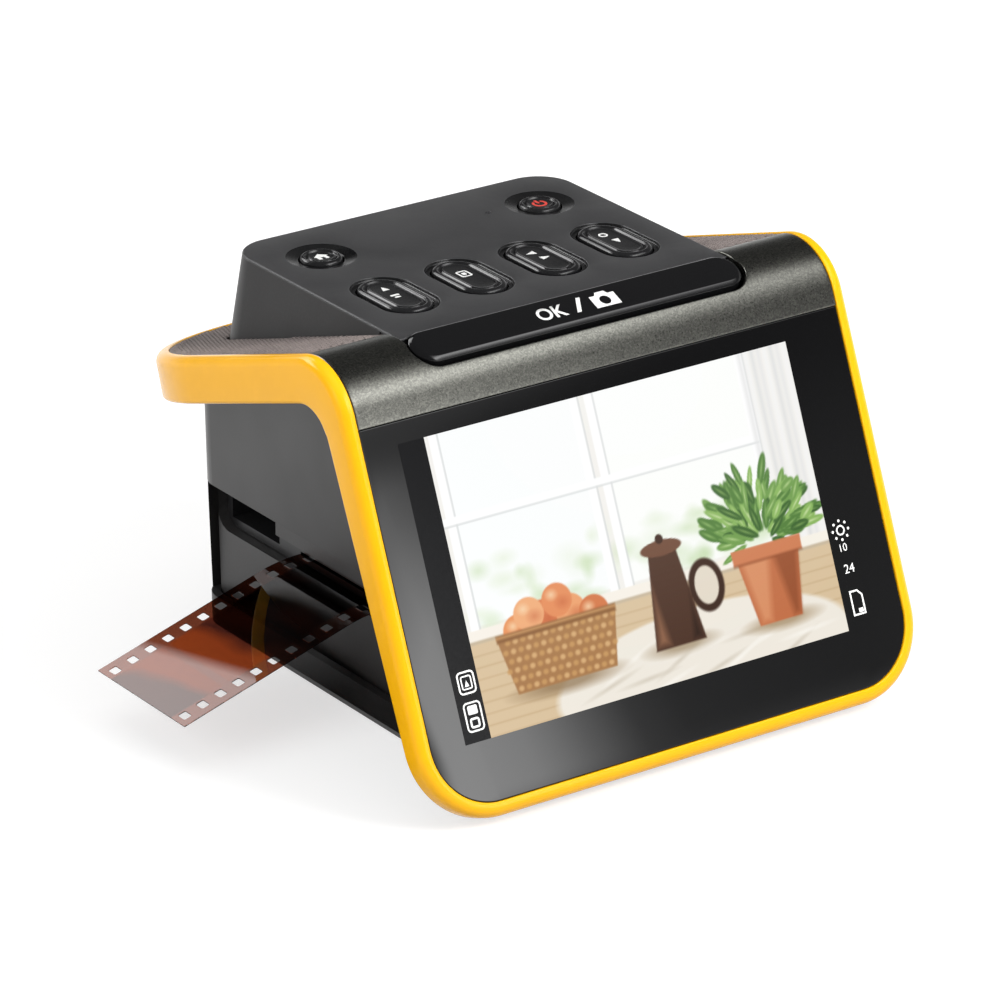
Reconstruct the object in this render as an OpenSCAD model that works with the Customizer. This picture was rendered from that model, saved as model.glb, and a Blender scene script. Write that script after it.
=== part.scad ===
// Desktop film negative scanner. A bent cover carries a tilted 5-inch screen on its front
// leg and a raised control block on its deck. A narrow case stands under the deck, and a
// film tray slides through it from side to side.
// Millimetres. X runs to the right, Y to the rear, Z up. The feet stand on Z = 0.

/* [Screen] */
// Width of the lit display, a 5-inch panel at 5:3
display_w = 108; // [102:1:110]
// Height of the lit display
display_h = 64.8; // [58:0.2:66]
// Black margin of the display module outside its lit area
module_margin = 3.5; // [2:0.5:4.5]
// Width of the cover glass
glass_w = 125.4; // [122:0.2:130]
// Distance from the screen's centre down to the glass's lower edge
glass_below = 45.5; // [43:0.5:46]
// Distance from the screen's centre up to the glass's upper edge
glass_above = 37; // [36:0.5:38]
// Radius of the glass's two lower corners
glass_corner_r = 14.4; // [10:0.2:18]

/* [Bent cover] */
// Height of the screen's centre above the table
screen_z = 48; // [47:0.5:50]
// Distance of the screen's centre in front of the origin
screen_ahead = 50; // [48:0.5:52]
// Lean of the front leg back from the vertical
front_lean = 22.3; // [20:0.1:24]
// Slope of the deck down to the rear
deck_slope = 18.4; // [17:0.1:20]
// Distance from the screen's centre up to where front and deck planes meet
corner_above = 53.75; // [52:0.25:55]
// Radius of the bend between front leg and deck
bend_r = 14.5; // [12:0.5:17]
// Length of the deck from that meeting line to its rear edge
deck_length = 105.5; // [104:0.5:112]
// Radius of the deck's two rear corners
deck_corner_r = 46; // [38:1:48]
// Thickness of the deck
deck_thick = 10.3; // [9:0.1:12]
// Thickness of the front leg at its foot
leg_thick_low = 5.3; // [5.2:0.1:6.5]
// Thickness of the front leg at the glass's upper edge
leg_thick_high = 8.2; // [7.5:0.1:9]
// Width of the coloured rim seen from the front
rim_w = 3.2; // [2:0.1:4]

/* [Case] */
// Width of the case under the deck
case_w = 86; // [84:1:92]
// Distance of the case's rear face behind the origin, at the table
case_rear = 58.7; // [58:0.1:60]
// Lean of the rear face outward
case_rear_lean = 1.8; // [0:0.1:3]
// Radius of the case's rear corners
case_corner_r = 7; // [4:0.5:9]
// Wall of the case
case_wall = 2; // [1.6:0.1:2.2]
// Gap between the base and the table
base_gap = 1; // [0.6:0.1:1.5]
// Thickness of the base cover
base_thick = 2.2; // [2:0.1:3]
// Radius of a rubber foot
foot_r = 5.5; // [4:0.5:6]

/* [Side windows] */
// Lower edge of the side windows
window_low = 8; // [7:0.5:12]
// Upper edge of the side windows
window_high = 34.8; // [34.8:0.2:36]
// Front edge of the side windows, ahead of the origin
window_ahead = 26; // [20:1:27]
// Rear edge of the side windows, behind the origin
window_rear = 57.2; // [56:0.1:57.4]

/* [Control block] */
// Height of the block's flat top above the table
block_top = 93.7; // [93.5:0.1:94]
// Width of the block's top
block_w = 86.2; // [84:0.2:90]
// Distance of the top's rear edge behind the origin
block_rear = 45; // [43:0.5:47]
// Distance of the top's front edge ahead of the origin
block_ahead = 22; // [21.6:0.1:22.4]
// Distance of the block's walls' front edge ahead of the origin
wall_ahead = 16; // [15.5:0.1:16.2]
// Radius of the block's rear corners
block_corner_r = 9; // [6:0.5:14]
// Draft of the block's sides
block_draft = 8.6; // [2:0.2:10]

/* [Buttons] */
// Distance between neighbouring oval buttons
oval_pitch = 19.4; // [18:0.1:19.8]
// Width of an oval button's recess
oval_recess_w = 14; // [12:0.2:14.6]
// Length of an oval button's recess
oval_recess_l = 23.5; // [20:0.5:24]
// Distance of the oval buttons from the origin, to the rear
oval_y = 0.2; // [-0.5:0.1:1]
// Distance of the round buttons behind the origin
round_y = 28.6; // [27:0.1:30]
// Diameter of a round button's recess
round_recess_d = 15.4; // [13:0.2:16]
// Diameter of a round button's cap
round_cap_d = 9.5; // [8:0.1:10]
// Length of the OK bar
ok_bar_l = 85.6; // [70:0.2:88]
// Width of the OK bar
ok_bar_w = 9.6; // [8:0.2:10]
// Travel of every button
button_travel = 0.8; // [0.4:0.1:0.8]
// Clearance around a moving cap
button_gap = 0.3; // [0.3:0.05:0.5]

/* [Film] */
// Width of the film
film_w = 35; // [35:0.01:35]
// Thickness of the film
film_thick = 0.2; // [0.15:0.01:0.3]
// Height of the film above the table inside the tray
film_z = 26.1; // [25.8:0.1:26.4]
// Distance of the film's middle behind the origin
film_y = 8.5; // [8:0.1:9]
// Length of film, in perforations
film_pitches = 32; // [24:1:32]
// Distance between two perforations
perforation_pitch = 4.75; // [4.75:0.01:4.75]
// Slope of the film where it hangs outside the tray
film_droop = 17; // [8:0.5:18]
// Straight length of the hanging part
film_hanging = 43.2; // [20:0.1:46]
// Radius of the film's bend at the tray's mouth
film_bend_r = 40; // [30:1:60]

/* [Tray and tunnel] */
// Clearance between the case's inner walls and the tunnel's end faces
tunnel_end_gap = 1.5; // [0.5:0.5:2]
// Lower side of the tunnel's passage
passage_low = 23; // [22.6:0.1:23.2]
// Height of the low part of the passage
passage_h = 6; // [5.6:0.1:6.2]
// Upper side of the tall part of the passage
passage_top = 34.8; // [34.2:0.1:34.8]
// Front side of the passage, ahead of the origin
passage_ahead = 11.5; // [11.2:0.1:12]
// Front side of the tall part, behind the origin
tall_from = 32.5; // [31:0.1:34]
// Rear side of the passage, behind the origin
passage_rear = 56.2; // [56:0.1:56.3]
// Radius of the passage's lower rear corner
passage_corner_r = 4.5; // [3:0.5:5]
// Clearance around the film tray
tray_gap = 0.3; // [0.3:0.05:0.4]
// Distance of the tray's ends behind the tunnel's end faces
tray_inset = 2.5; // [1.5:0.5:4.5]

/* [Hidden] */

$fn = 96;
reach = 260;
sides = [-1, 1];

// Fits and small shared sizes
seat_gap = 0.1;
rim_seat = 0.05;
skin_depth = 1.5;
glass_drop = 0.4;
bezel_drop = 0.15;
grip_drop = 0.3;
board_thick = 1.6;
screw_shank_r = 1.3;
shank_gap = 0.05;
slot_cut = 1;
lap = 0.2;

// Bent cover
half_w = glass_w / 2 + seat_gap + rim_w;
foot_below = glass_below + seat_gap + rim_w;
foot_corner_r = glass_corner_r + seat_gap + rim_w;
screen_mid = [-screen_ahead, screen_z];
front_up = [sin(front_lean), cos(front_lean)];
front_in = [cos(front_lean), -sin(front_lean)];
deck_back = [cos(deck_slope), -sin(deck_slope)];
deck_in = [-sin(deck_slope), -cos(deck_slope)];
outer_corner = screen_mid + front_up * corner_above;
leg_taper = atan((leg_thick_high - leg_thick_low) / (glass_above + foot_below));
inner_lean = front_lean + leg_taper;
inner_up = [sin(inner_lean), cos(inner_lean)];
leg_heel = screen_mid - front_up * foot_below + front_in * leg_thick_low;
inner_corner = meet(leg_heel, inner_up, outer_corner + deck_in * deck_thick, deck_back);
inner_bend_r = 9;
bend_steps = 30;
bend_reach = bend_r * tan((90 - front_lean + deck_slope) / 2);
deck_wall = 2;
deck_cavity_start = 24;

// Screen
lcd_w = display_w + 2 * module_margin;
lcd_h = display_h + 2 * module_margin;
lcd_thick = 1.9;
gasket_thick = 0.25;
lcd_pocket = skin_depth + gasket_thick + lcd_thick;
cable_w = 24;
cable_thick = 0.4;
cable_v = -28;
cable_slot = 1.4;

// Boards behind the screen
main_board_size = [72, 54];
main_board_mid = -8;
main_board_depth = 14;
main_post_at = [31, 22];
main_post_r = 3;
screw_head_r = 2.4;
screw_head_h = 1.4;
screw_l = 6;

// Base
case_inner = case_w / 2 - case_wall;
base_top = base_gap + base_thick;
base_side_gap = 0.15;
foot_h = base_gap + 0.8;
case_ends = [leg_heel[0], case_rear];
foot_from_side = [8, 7];
foot_from_end = [9.1, 14.7];
foot_places = concat([[0, 0]], case_pairs(foot_from_side, foot_from_end));
boss_from_side = [4, 15];
boss_from_end = [23.6, 6.2];
boss_places = case_pairs(boss_from_side, boss_from_end);
boss_r = 4.5;
boss_top = 14;
base_screw_head_r = 2.75;
base_screw_head_h = 1.4;
base_screw_l = 9;

// Control block
plate_thick = 2;
plate_under = block_top - plate_thick;
housing_wall = 2;
housing_depth = 30;
draft_run = housing_depth * tan(block_draft);
opening_w = 77;
opening_ahead = 12.5;
opening_rear = 40;

// Buttons
oval_places = [for (i = [0:3]) [(i - 1.5) * oval_pitch, oval_y]];
round_x = 1.5 * oval_pitch;
recess_depth = 0.8;
cap_ring_w = 1.3;
cap_groove_w = 1;
cap_groove_depth = 0.5;
cap_proud = 0.2;
flange_step = 0.8;
flange_gap = 0.3;
flange_thick = 1;
stem_r = 1.8;
stem_l = 0.9;
oval_cap_w = oval_recess_w - 3;
oval_cap_l = oval_recess_l - 3;
stem_under = plate_under - flange_gap - flange_thick - stem_l;
switch_top = stem_under - button_travel - flange_gap;
switch_h = 2.3;
switch_size = 6;
key_board_top = switch_top - switch_h;
key_board_y = [-12, 41];
key_board_w = 73;
key_post_places = [[-oval_pitch, -9], [oval_pitch, -9], [-oval_pitch, 38], [oval_pitch, 38]];
key_post_r = 2.3;
light_from_power = [-12.8, 1.6];
light_place = [round_x, round_y] + light_from_power;
light_r = 0.6;

// OK bar, measured in its own frame: its middle sits on the bend's surface
ok_from_front = 45.6;
ok_angle = 90 - front_lean - ok_from_front;
ok_opening_gap = 0.8;
ok_bar_lift = 0.3;
ok_bar_thick = 3.5;
ok_tab_thick = 0.8;
ok_tab_w = 5;
ok_tab_l = ok_opening_gap + 0.8;
ok_pocket_margin = ok_tab_l + 0.9;
ok_pocket_depth = 6.3;
ok_board_thick = 0.8;
ok_switch_h = 0.7;
ok_switch_inset = 16.8;
ok_switch_x = ok_bar_l / 2 - ok_switch_inset;
ok_switch_r = 2.5;

// Tunnel, tray and what stands on them
tunnel_w = 2 * (case_inner - tunnel_end_gap);
tray_l = tunnel_w - 2 * tray_inset;
tunnel_wall = 2.5;
tunnel_end_thick = 1.5;
tunnel_end_low = 5;
tunnel_end_high = 42;
tunnel_end_ahead = 28;
tunnel_end_rear = 56.6;
tunnel_under = passage_low - tunnel_wall;
tunnel_over = passage_top + 2;
roof_over = passage_low + passage_h + tunnel_wall;
gate_w = 38;
gate_h = 26;
channel_h = 1;
channel_gap = 0.3;
pull_depth = 7;
pull_wall = 2;
io_post_x = 30;
io_post_y = 46;
io_board_under = tunnel_over + 4.5;
io_board_size = [72, 13];
io_board_rear = 55.6;
socket_reach = 3.4;
socket_depth = 7;
socket_wall = 0.4;
card_socket_depth = 11;
card_socket_wall = 0.3;
port_gap = 0.3;
usb_c_port = [-io_board_size[0] / 3, 9, 3.2];
hdmi_port = [0, 11.2, 3.2];
sd_card_port = [io_board_size[0] / 3, 25, 2.6];
ports = [usb_c_port, hdmi_port, sd_card_port];
bracket_size = [44, 38];
bracket_wall = 2;
bracket_top = 62;
bracket_plate = 2;
lens_r = 7;
lens_low = 48;
lens_flange_r = 9.5;
lens_flange_h = 2.5;
lens_hood_wall = 1.5;
lens_hood_depth = 3;
sensor_size = 30;
light_box_size = [48, 40];
light_box_wall = 1.6;
diffuser_thick = 2;
diffuser_ledge = 1;
led_size = 3;
led_h = 1;
led_step = [12, 10];

// Film
perforation_w = 2.8;
perforation_l = 1.98;
perforation_corner_r = 0.45;
perforation_spread = 28.17;
perforation_cut = 2;
film_bend_steps = 12;
film_drop = film_bend_r * (1 - cos(film_droop));
film_bend_run = film_bend_r * sin(film_droop);
film_l = film_pitches * perforation_pitch;
film_arc_l = film_bend_r * film_droop * PI / 180;
film_flat_from = -tray_l / 2;

// A front and a rear pair of places, set in from the case's inner walls and from its ends
function case_pairs(from_side, from_end) =
    [for (side = sides, row = [0, 1])
        [side * (case_inner - from_side[row]), case_ends[row] + [1, -1][row] * from_end[row]]];

// Where the line through p along u meets the line through q along w
function meet(p, u, q, w) = p + u * cross(q - p, w) / cross(u, w);

// Lays a side outline drawn as [Y, Z] across the part, centred on X = 0
module across(width) {
    translate([-width / 2, 0, 0])
        rotate([90, 0, 90])
            linear_extrude(width)
                children();
}

// Frame of the front leg: X across, Y up the leg, Z out of the screen
module on_front() {
    translate([0, screen_mid[0], screen_mid[1]])
        rotate([90 - front_lean, 0, 0])
            children();
}

// Frame of the deck: X across, Y down to the rear, Z out of the deck
module on_deck() {
    translate([0, outer_corner[0], outer_corner[1]])
        rotate([-deck_slope, 0, 0])
            children();
}

// Frame of the OK bar: its middle on the bend's surface, Z out of the bend
module on_ok_bar() {
    bend_mid = outer_corner - front_up * bend_reach + front_in * bend_r;
    translate([0, bend_mid[0], bend_mid[1]])
        rotate([ok_angle, 0, 0])
            translate([0, 0, bend_r])
                children();
}

// Side outline of everything behind the front and under the deck, with a round bend
module behind_bend(corner, lean, radius) {
    up = [sin(lean), cos(lean)];
    turn = 90 - lean + deck_slope;
    centre = corner - up * radius * tan(turn / 2) + radius * [cos(lean), -sin(lean)];
    bend = [for (i = [0:bend_steps])
        let (angle = 180 - lean - turn * i / bend_steps)
            centre + radius * [cos(angle), sin(angle)]];
    polygon(concat([corner - up * reach], bend, [corner + deck_back * reach]));
}

// The same outline, set in from the outer surface by one depth all along
module behind_skin(depth) {
    shift = depth / (1 + front_in * deck_in);
    behind_bend(outer_corner + (front_in + deck_in) * shift, front_lean, bend_r - depth);
}

// Side outline of the space that the leg and the deck enclose
module under_cover() {
    behind_bend(inner_corner, inner_lean, inner_bend_r);
}

// Outline with a straight upper edge and two round lower corners
module round_foot(half, low, high, radius) {
    translate([-half, low + radius])
        square([2 * half, high - low - radius]);
    translate([radius - half, low])
        square([2 * (half - radius), high - low]);
    for (side = sides)
        translate([side * (half - radius), low + radius])
            circle(radius);
}

// Outline with a straight front edge and two round rear corners
module round_rear(half, front, rear, radius) {
    mirror([0, 1])
        round_foot(half, -rear, -front, radius);
}

// Long oval along Y
module oval(width, length) {
    if (length > width)
        square([width, length - width], center = true);
    for (side = sides)
        translate([0, side * (length - width) / 2])
            circle(d = width);
}

// Rectangle with round corners, centred
module round_rect(width, height, radius) {
    square([width - 2 * radius, height], center = true);
    square([width, height - 2 * radius], center = true);
    for (side = sides, end = sides)
        translate([side * (width / 2 - radius), end * (height / 2 - radius)])
            circle(radius);
}

// Keeps of its children what lies inside the cover's outline, set in by one inset
module within_outline(inset) {
    intersection() {
        children();
        on_front()
            translate([0, 0, -reach])
                linear_extrude(2 * reach)
                    round_foot(half_w - inset, inset - foot_below, reach, foot_corner_r - inset);
        on_deck()
            translate([0, 0, -reach])
                linear_extrude(2 * reach)
                    round_rear(half_w - inset, -reach, deck_length - inset, deck_corner_r - inset);
    }
}

// Plan of the case with its leaning rear face, set in by one inset
module case_plan(inset) {
    translate([0, case_rear, 0])
        rotate([-case_rear_lean, 0, 0])
            translate([0, 0, -reach])
                linear_extrude(2 * reach)
                    round_rear(case_w / 2 - inset, -reach, -inset, case_corner_r - inset);
}

module lower_case() {
    color([0.17, 0.17, 0.18])
    difference() {
        union() {
            difference() {
                intersection() {
                    across(case_w)
                        under_cover();
                    case_plan(0);
                }
                case_plan(case_wall);
            }
            for (place = boss_places)
                intersection() {
                    translate([place[0], place[1], base_top])
                        cylinder(h = boss_top - base_top, r = boss_r);
                    case_plan(0);
                }
        }
        translate([-reach, -reach, base_gap - reach])
            cube([2 * reach, 2 * reach, reach]);
        for (side = sides)
            translate([side * case_w / 2 - reach / 20, -window_ahead, window_low])
                cube([reach / 10, window_ahead + window_rear, window_high - window_low]);
        for (place = boss_places)
            translate([place[0], place[1], base_gap])
                cylinder(h = boss_top, r = screw_shank_r + shank_gap);
        port_openings();
    }
}

// Openings in the rear wall for the sockets
module port_openings() {
    for (port = ports)
        on_port(port)
            linear_extrude(4 * case_wall)
                round_rect(port[1] + 2 * port_gap, port[2] + 2 * port_gap, port[2] / 4 + port_gap);
}

// Frame of a socket: its middle at the board's rear edge, Z out of the rear wall
module on_port(port) {
    translate([port[0], io_board_rear, io_board_under + board_thick + port[2] / 2])
        rotate([-90, 0, 0])
            children();
}

module base_cover() {
    color([0.12, 0.12, 0.13])
    difference() {
        intersection() {
            across(2 * (case_inner - base_side_gap))
                difference() {
                    under_cover();
                    translate([-reach, base_top])
                        square([2 * reach, reach]);
                    translate([-reach, base_gap - reach])
                        square([2 * reach, reach]);
                }
            case_plan(case_wall + base_side_gap);
        }
        for (place = foot_places)
            translate([place[0], place[1], 0])
                cylinder(h = foot_h, r = foot_r);
        for (place = boss_places) {
            translate([place[0], place[1], 0])
                cylinder(h = base_gap + base_screw_head_h, r = base_screw_head_r + seat_gap);
            translate([place[0], place[1], 0])
                cylinder(h = boss_top, r = screw_shank_r + shank_gap);
        }
    }
}

module rubber_feet() {
    color([0.08, 0.08, 0.08])
    for (place = foot_places)
        translate([place[0], place[1], 0])
            cylinder(h = foot_h, r = foot_r);
}

// Pan-head screw standing with its head's upper side at the origin, its shank up
module screw(head_r, head_h, length) {
    cross_w = 0.7;
    cross_depth = 0.7;
    difference() {
        union() {
            translate([0, 0, -head_h])
                cylinder(h = head_h, r = head_r);
            cylinder(h = length, r = screw_shank_r);
        }
        for (turn = [0, 90])
            rotate([0, 0, turn])
                translate([-head_r * 0.6, -cross_w / 2, -head_h - slot_cut])
                    cube([head_r * 1.2, cross_w, cross_depth + slot_cut]);
    }
}

module base_screws() {
    color([0.35, 0.35, 0.37])
    for (place = boss_places)
        translate([place[0], place[1], base_gap + base_screw_head_h])
            screw(base_screw_head_r, base_screw_head_h, base_screw_l);
}

module bent_cover() {
    color([0.13, 0.13, 0.14])
    difference() {
        union() {
            within_outline(rim_w + rim_seat)
                across(2 * half_w)
                    difference() {
                        behind_skin(skin_depth);
                        under_cover();
                    }
            on_front()
                for (side = sides, end = sides)
                    translate([side * main_post_at[0], main_board_mid + end * main_post_at[1],
                            -main_board_depth])
                        cylinder(h = main_board_depth - leg_thick_low, r = main_post_r);
        }
        lcd_pocket_cut();
        deck_hollow();
        translate([-opening_w / 2, -opening_ahead, 0])
            cube([opening_w, opening_ahead + opening_rear, reach]);
        on_ok_bar()
            translate([0, 0, -ok_pocket_depth])
                linear_extrude(reach)
                    rotate(90)
                        oval(ok_bar_w + 2 * ok_pocket_margin, ok_bar_l + 2 * ok_pocket_margin);
        on_front()
            for (side = sides, end = sides)
                translate([side * main_post_at[0], main_board_mid + end * main_post_at[1],
                        -main_board_depth])
                    cylinder(h = screw_l, r = screw_shank_r + shank_gap);
    }
}

// Pocket for the display module, with the slot that lets its cable through
module lcd_pocket_cut() {
    on_front() {
        translate([0, 0, -lcd_pocket])
            linear_extrude(lcd_pocket)
                square([lcd_w + 2 * seat_gap, lcd_h + 2 * seat_gap], center = true);
        translate([-cable_w / 2 - seat_gap, cable_v - cable_slot / 2, -main_board_depth])
            cube([cable_w + 2 * seat_gap, cable_slot, main_board_depth]);
    }
}

// Hollow inside the deck, closed below and open to the case's inside
module deck_hollow() {
    inset = rim_w + deck_wall;
    on_deck()
        translate([0, 0, deck_wall - deck_thick])
            linear_extrude(deck_thick - 2 * deck_wall - skin_depth)
                round_rear(half_w - inset, deck_cavity_start, deck_length - inset,
                           deck_corner_r - inset);
}

module rim_band() {
    color([0.98, 0.80, 0.10])
    difference() {
        within_outline(0)
            across(2 * half_w)
                difference() {
                    behind_skin(0);
                    under_cover();
                }
        within_outline(rim_w)
            cube(2 * reach, center = true);
    }
}

module deck_grip() {
    color([0.10, 0.10, 0.10])
    difference() {
        within_outline(rim_w + seat_gap)
            across(2 * half_w)
                difference() {
                    behind_skin(grip_drop);
                    behind_skin(skin_depth);
                }
        on_deck()
            translate([-reach, -reach, -reach])
                cube([2 * reach, reach + bend_reach + seat_gap, 2 * reach]);
        housing_mass(seat_gap);
        translate([0, 0, plate_under])
            linear_extrude(2 * plate_thick)
                plate_outline(seat_gap);
    }
}

module bend_bezel() {
    color([0.35, 0.35, 0.34])
    difference() {
        intersection() {
            across(glass_w)
                difference() {
                    behind_skin(bezel_drop);
                    behind_skin(skin_depth);
                }
            on_front()
                translate([-reach, glass_above + seat_gap, -reach])
                    cube([2 * reach, reach, 2 * reach]);
            on_deck()
                translate([-reach, -reach, -reach])
                    cube([2 * reach, reach + bend_reach, 2 * reach]);
        }
        ok_opening();
        translate([0, 0, plate_under])
            linear_extrude(2 * plate_thick)
                plate_outline(seat_gap);
    }
}

// Opening around the OK bar, through the bezel and the plate's front edge
module ok_opening() {
    on_ok_bar()
        translate([0, 0, -ok_pocket_depth])
            linear_extrude(2 * ok_pocket_depth)
                rotate(90)
                    oval(ok_bar_w + 2 * ok_opening_gap, ok_bar_l + 2 * ok_opening_gap);
}

// Outline of the control block's top, grown by one gap
module plate_outline(gap) {
    round_rear(block_w / 2 + gap, seat_gap - block_ahead - gap, block_rear + gap,
               block_corner_r + gap);
}

// Outer form of the control block below its plate, grown by one gap
module housing_mass(gap) {
    half = block_w / 2 + gap;
    depth = block_rear + wall_ahead;
    translate([0, (block_rear - wall_ahead) / 2, plate_under])
        mirror([0, 0, 1])
            linear_extrude(housing_depth, slices = 1,
                           scale = [1 + draft_run / half, 1 + 2 * draft_run / depth])
                round_rear(half, -depth / 2, depth / 2 + gap, block_corner_r + gap);
}

module control_housing() {
    inner_half = block_w / 2 - housing_wall;
    color([0.16, 0.15, 0.15])
    difference() {
        housing_mass(0);
        across(4 * half_w)
            behind_skin(skin_depth);
        translate([0, 0, screen_z])
            linear_extrude(reach)
                round_rear(inner_half, housing_wall - wall_ahead, block_rear - housing_wall,
                           block_corner_r - housing_wall);
        translate([-reach, -reach, 0])
            cube([2 * reach, reach - wall_ahead + seat_gap, reach]);
    }
}

module control_plate() {
    color([0.28, 0.28, 0.29])
    difference() {
        union() {
            translate([0, 0, plate_under])
                linear_extrude(plate_thick)
                    plate_outline(0);
            for (place = key_post_places)
                translate([place[0], place[1], key_board_top])
                    cylinder(h = plate_under + lap - key_board_top, r = key_post_r);
        }
        for (place = oval_places)
            translate([place[0], place[1], 0])
                button_opening(oval_recess_w, oval_recess_l, oval_cap_w, oval_cap_l);
        for (side = sides)
            translate([side * round_x, round_y, 0])
                button_opening(round_recess_d, round_recess_d, round_cap_d, round_cap_d);
        for (place = key_post_places)
            translate([place[0], place[1], key_board_top - slot_cut])
                cylinder(h = screw_l, r = screw_shank_r + shank_gap);
        translate([light_place[0], light_place[1], plate_under - slot_cut])
            cylinder(h = plate_thick + 2 * slot_cut, r = light_r + shank_gap);
        intersection() {
            across(4 * half_w)
                behind_skin(skin_depth);
            translate([-reach, -reach, plate_under - slot_cut])
                cube([2 * reach, reach - wall_ahead, reach]);
        }
        ok_opening();
    }
}

// Recess in the plate, and the hole through it that a cap moves in
module button_opening(recess_w, recess_l, cap_w, cap_l) {
    translate([0, 0, block_top - recess_depth])
        linear_extrude(2 * recess_depth)
            oval(recess_w, recess_l);
    translate([0, 0, plate_under - slot_cut])
        linear_extrude(plate_thick + 2 * slot_cut)
            oval(cap_w + 2 * button_gap, cap_l + 2 * button_gap);
}

// Cap with a raised ring and a raised middle, a flange under the plate and a stem
module button_cap(cap_w, cap_l) {
    cap_under = plate_under - flange_gap - flange_thick;
    difference() {
        translate([0, 0, cap_under])
            linear_extrude(block_top + cap_proud - cap_under)
                oval(cap_w, cap_l);
        translate([0, 0, block_top + cap_proud - cap_groove_depth])
            linear_extrude(2 * cap_groove_depth)
                difference() {
                    oval(cap_w - 2 * cap_ring_w, cap_l - 2 * cap_ring_w);
                    oval(cap_w - 2 * cap_ring_w - 2 * cap_groove_w,
                         cap_l - 2 * cap_ring_w - 2 * cap_groove_w);
                }
    }
    translate([0, 0, cap_under])
        linear_extrude(flange_thick)
            oval(cap_w + 2 * flange_step, cap_l + 2 * flange_step);
    translate([0, 0, stem_under])
        cylinder(h = stem_l, r = stem_r);
}

module oval_button(index) {
    color([0.16, 0.16, 0.17])
    translate([oval_places[index][0], oval_places[index][1], 0])
        button_cap(oval_cap_w, oval_cap_l);
}

module round_button(side) {
    color([0.16, 0.16, 0.17])
    translate([side * round_x, round_y, 0])
        button_cap(round_cap_d, round_cap_d);
}

module ok_bar() {
    color([0.06, 0.06, 0.07])
    intersection() {
        across(ok_bar_l)
            behind_skin(0);
        on_ok_bar()
            translate([0, ok_bar_lift, -ok_bar_thick])
                linear_extrude(2 * ok_pocket_depth)
                    rotate(90)
                        oval(ok_bar_w, ok_bar_l);
    }
    on_ok_bar()
        translate([0, ok_bar_lift, ok_tab_thick / 2 - ok_bar_thick])
            cube([ok_bar_l + 2 * ok_tab_l, ok_tab_w, ok_tab_thick], center = true);
}

module ok_board() {
    color([0.08, 0.30, 0.18])
    on_ok_bar()
        translate([0, 0, -ok_pocket_depth])
            linear_extrude(ok_board_thick)
                rotate(90)
                    oval(ok_bar_w, ok_bar_l);
}

module ok_switches() {
    color([0.75, 0.75, 0.76])
    on_ok_bar()
        for (side = sides)
            translate([side * ok_switch_x, 0, ok_board_thick - ok_pocket_depth])
                cylinder(h = ok_switch_h, r = ok_switch_r);
}

module cover_glass() {
    color([0.05, 0.05, 0.06])
    on_front()
        translate([0, 0, -skin_depth])
            linear_extrude(skin_depth - glass_drop)
                round_foot(glass_w / 2, -glass_below, glass_above, glass_corner_r);
}

module screen_gasket() {
    color([0.03, 0.03, 0.03])
    on_front()
        translate([0, 0, -skin_depth - gasket_thick])
            linear_extrude(gasket_thick)
                difference() {
                    square([lcd_w, lcd_h], center = true);
                    square([display_w + 1, display_h + 1], center = true);
                }
}

module lcd_panel() {
    color([0.55, 0.62, 0.70])
    on_front()
        translate([0, 0, -lcd_pocket])
            linear_extrude(lcd_thick)
                square([lcd_w, lcd_h], center = true);
}

module flat_cable() {
    color([0.80, 0.50, 0.15])
    on_front()
        translate([-cable_w / 2, cable_v - cable_thick / 2, -main_board_depth])
            cube([cable_w, cable_thick, main_board_depth - lcd_pocket]);
}

module main_board() {
    color([0.08, 0.30, 0.18])
    on_front()
        translate([0, 0, -main_board_depth - board_thick])
            difference() {
                linear_extrude(board_thick)
                    translate([0, main_board_mid])
                        square(main_board_size, center = true);
                for (side = sides, end = sides)
                    translate([side * main_post_at[0], main_board_mid + end * main_post_at[1],
                            -slot_cut])
                        cylinder(h = board_thick + 2 * slot_cut, r = screw_shank_r + shank_gap);
            }
}

module main_board_screws() {
    color([0.70, 0.70, 0.72])
    on_front()
        for (side = sides, end = sides)
            translate([side * main_post_at[0], main_board_mid + end * main_post_at[1],
                    -main_board_depth - board_thick])
                screw(screw_head_r, screw_head_h, screw_l);
}

module key_board() {
    color([0.08, 0.30, 0.18])
    translate([0, 0, key_board_top - board_thick])
        difference() {
            linear_extrude(board_thick)
                translate([-key_board_w / 2, key_board_y[0]])
                    square([key_board_w, key_board_y[1] - key_board_y[0]]);
            for (place = key_post_places)
                translate([place[0], place[1], -slot_cut])
                    cylinder(h = board_thick + 2 * slot_cut, r = screw_shank_r + shank_gap);
        }
}

module key_switches() {
    places = concat(oval_places, [for (side = sides) [side * round_x, round_y]]);
    color([0.25, 0.25, 0.27])
    for (place = places)
        translate([place[0], place[1], key_board_top])
            linear_extrude(switch_h)
                square(switch_size, center = true);
}

module key_board_screws() {
    color([0.70, 0.70, 0.72])
    for (place = key_post_places)
        translate([place[0], place[1], key_board_top - board_thick])
            screw(screw_head_r, screw_head_h, screw_l - slot_cut);
}

module status_light() {
    color([0.85, 0.88, 0.90])
    translate([light_place[0], light_place[1], key_board_top])
        cylinder(h = block_top - key_board_top, r = light_r);
}

module io_board() {
    color([0.08, 0.30, 0.18])
    translate([-io_board_size[0] / 2, io_board_rear - io_board_size[1], io_board_under])
        cube([io_board_size[0], io_board_size[1], board_thick]);
}

// Socket shell on the board, open to the rear
module socket(port, depth, wall) {
    on_port(port)
        translate([0, 0, -depth])
            difference() {
                linear_extrude(depth + socket_reach)
                    round_rect(port[1], port[2], port[2] / 4);
                translate([0, 0, wall])
                    linear_extrude(depth + socket_reach)
                        round_rect(port[1] - 2 * wall, port[2] - 2 * wall, port[2] / 4 - wall / 2);
            }
}

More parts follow.
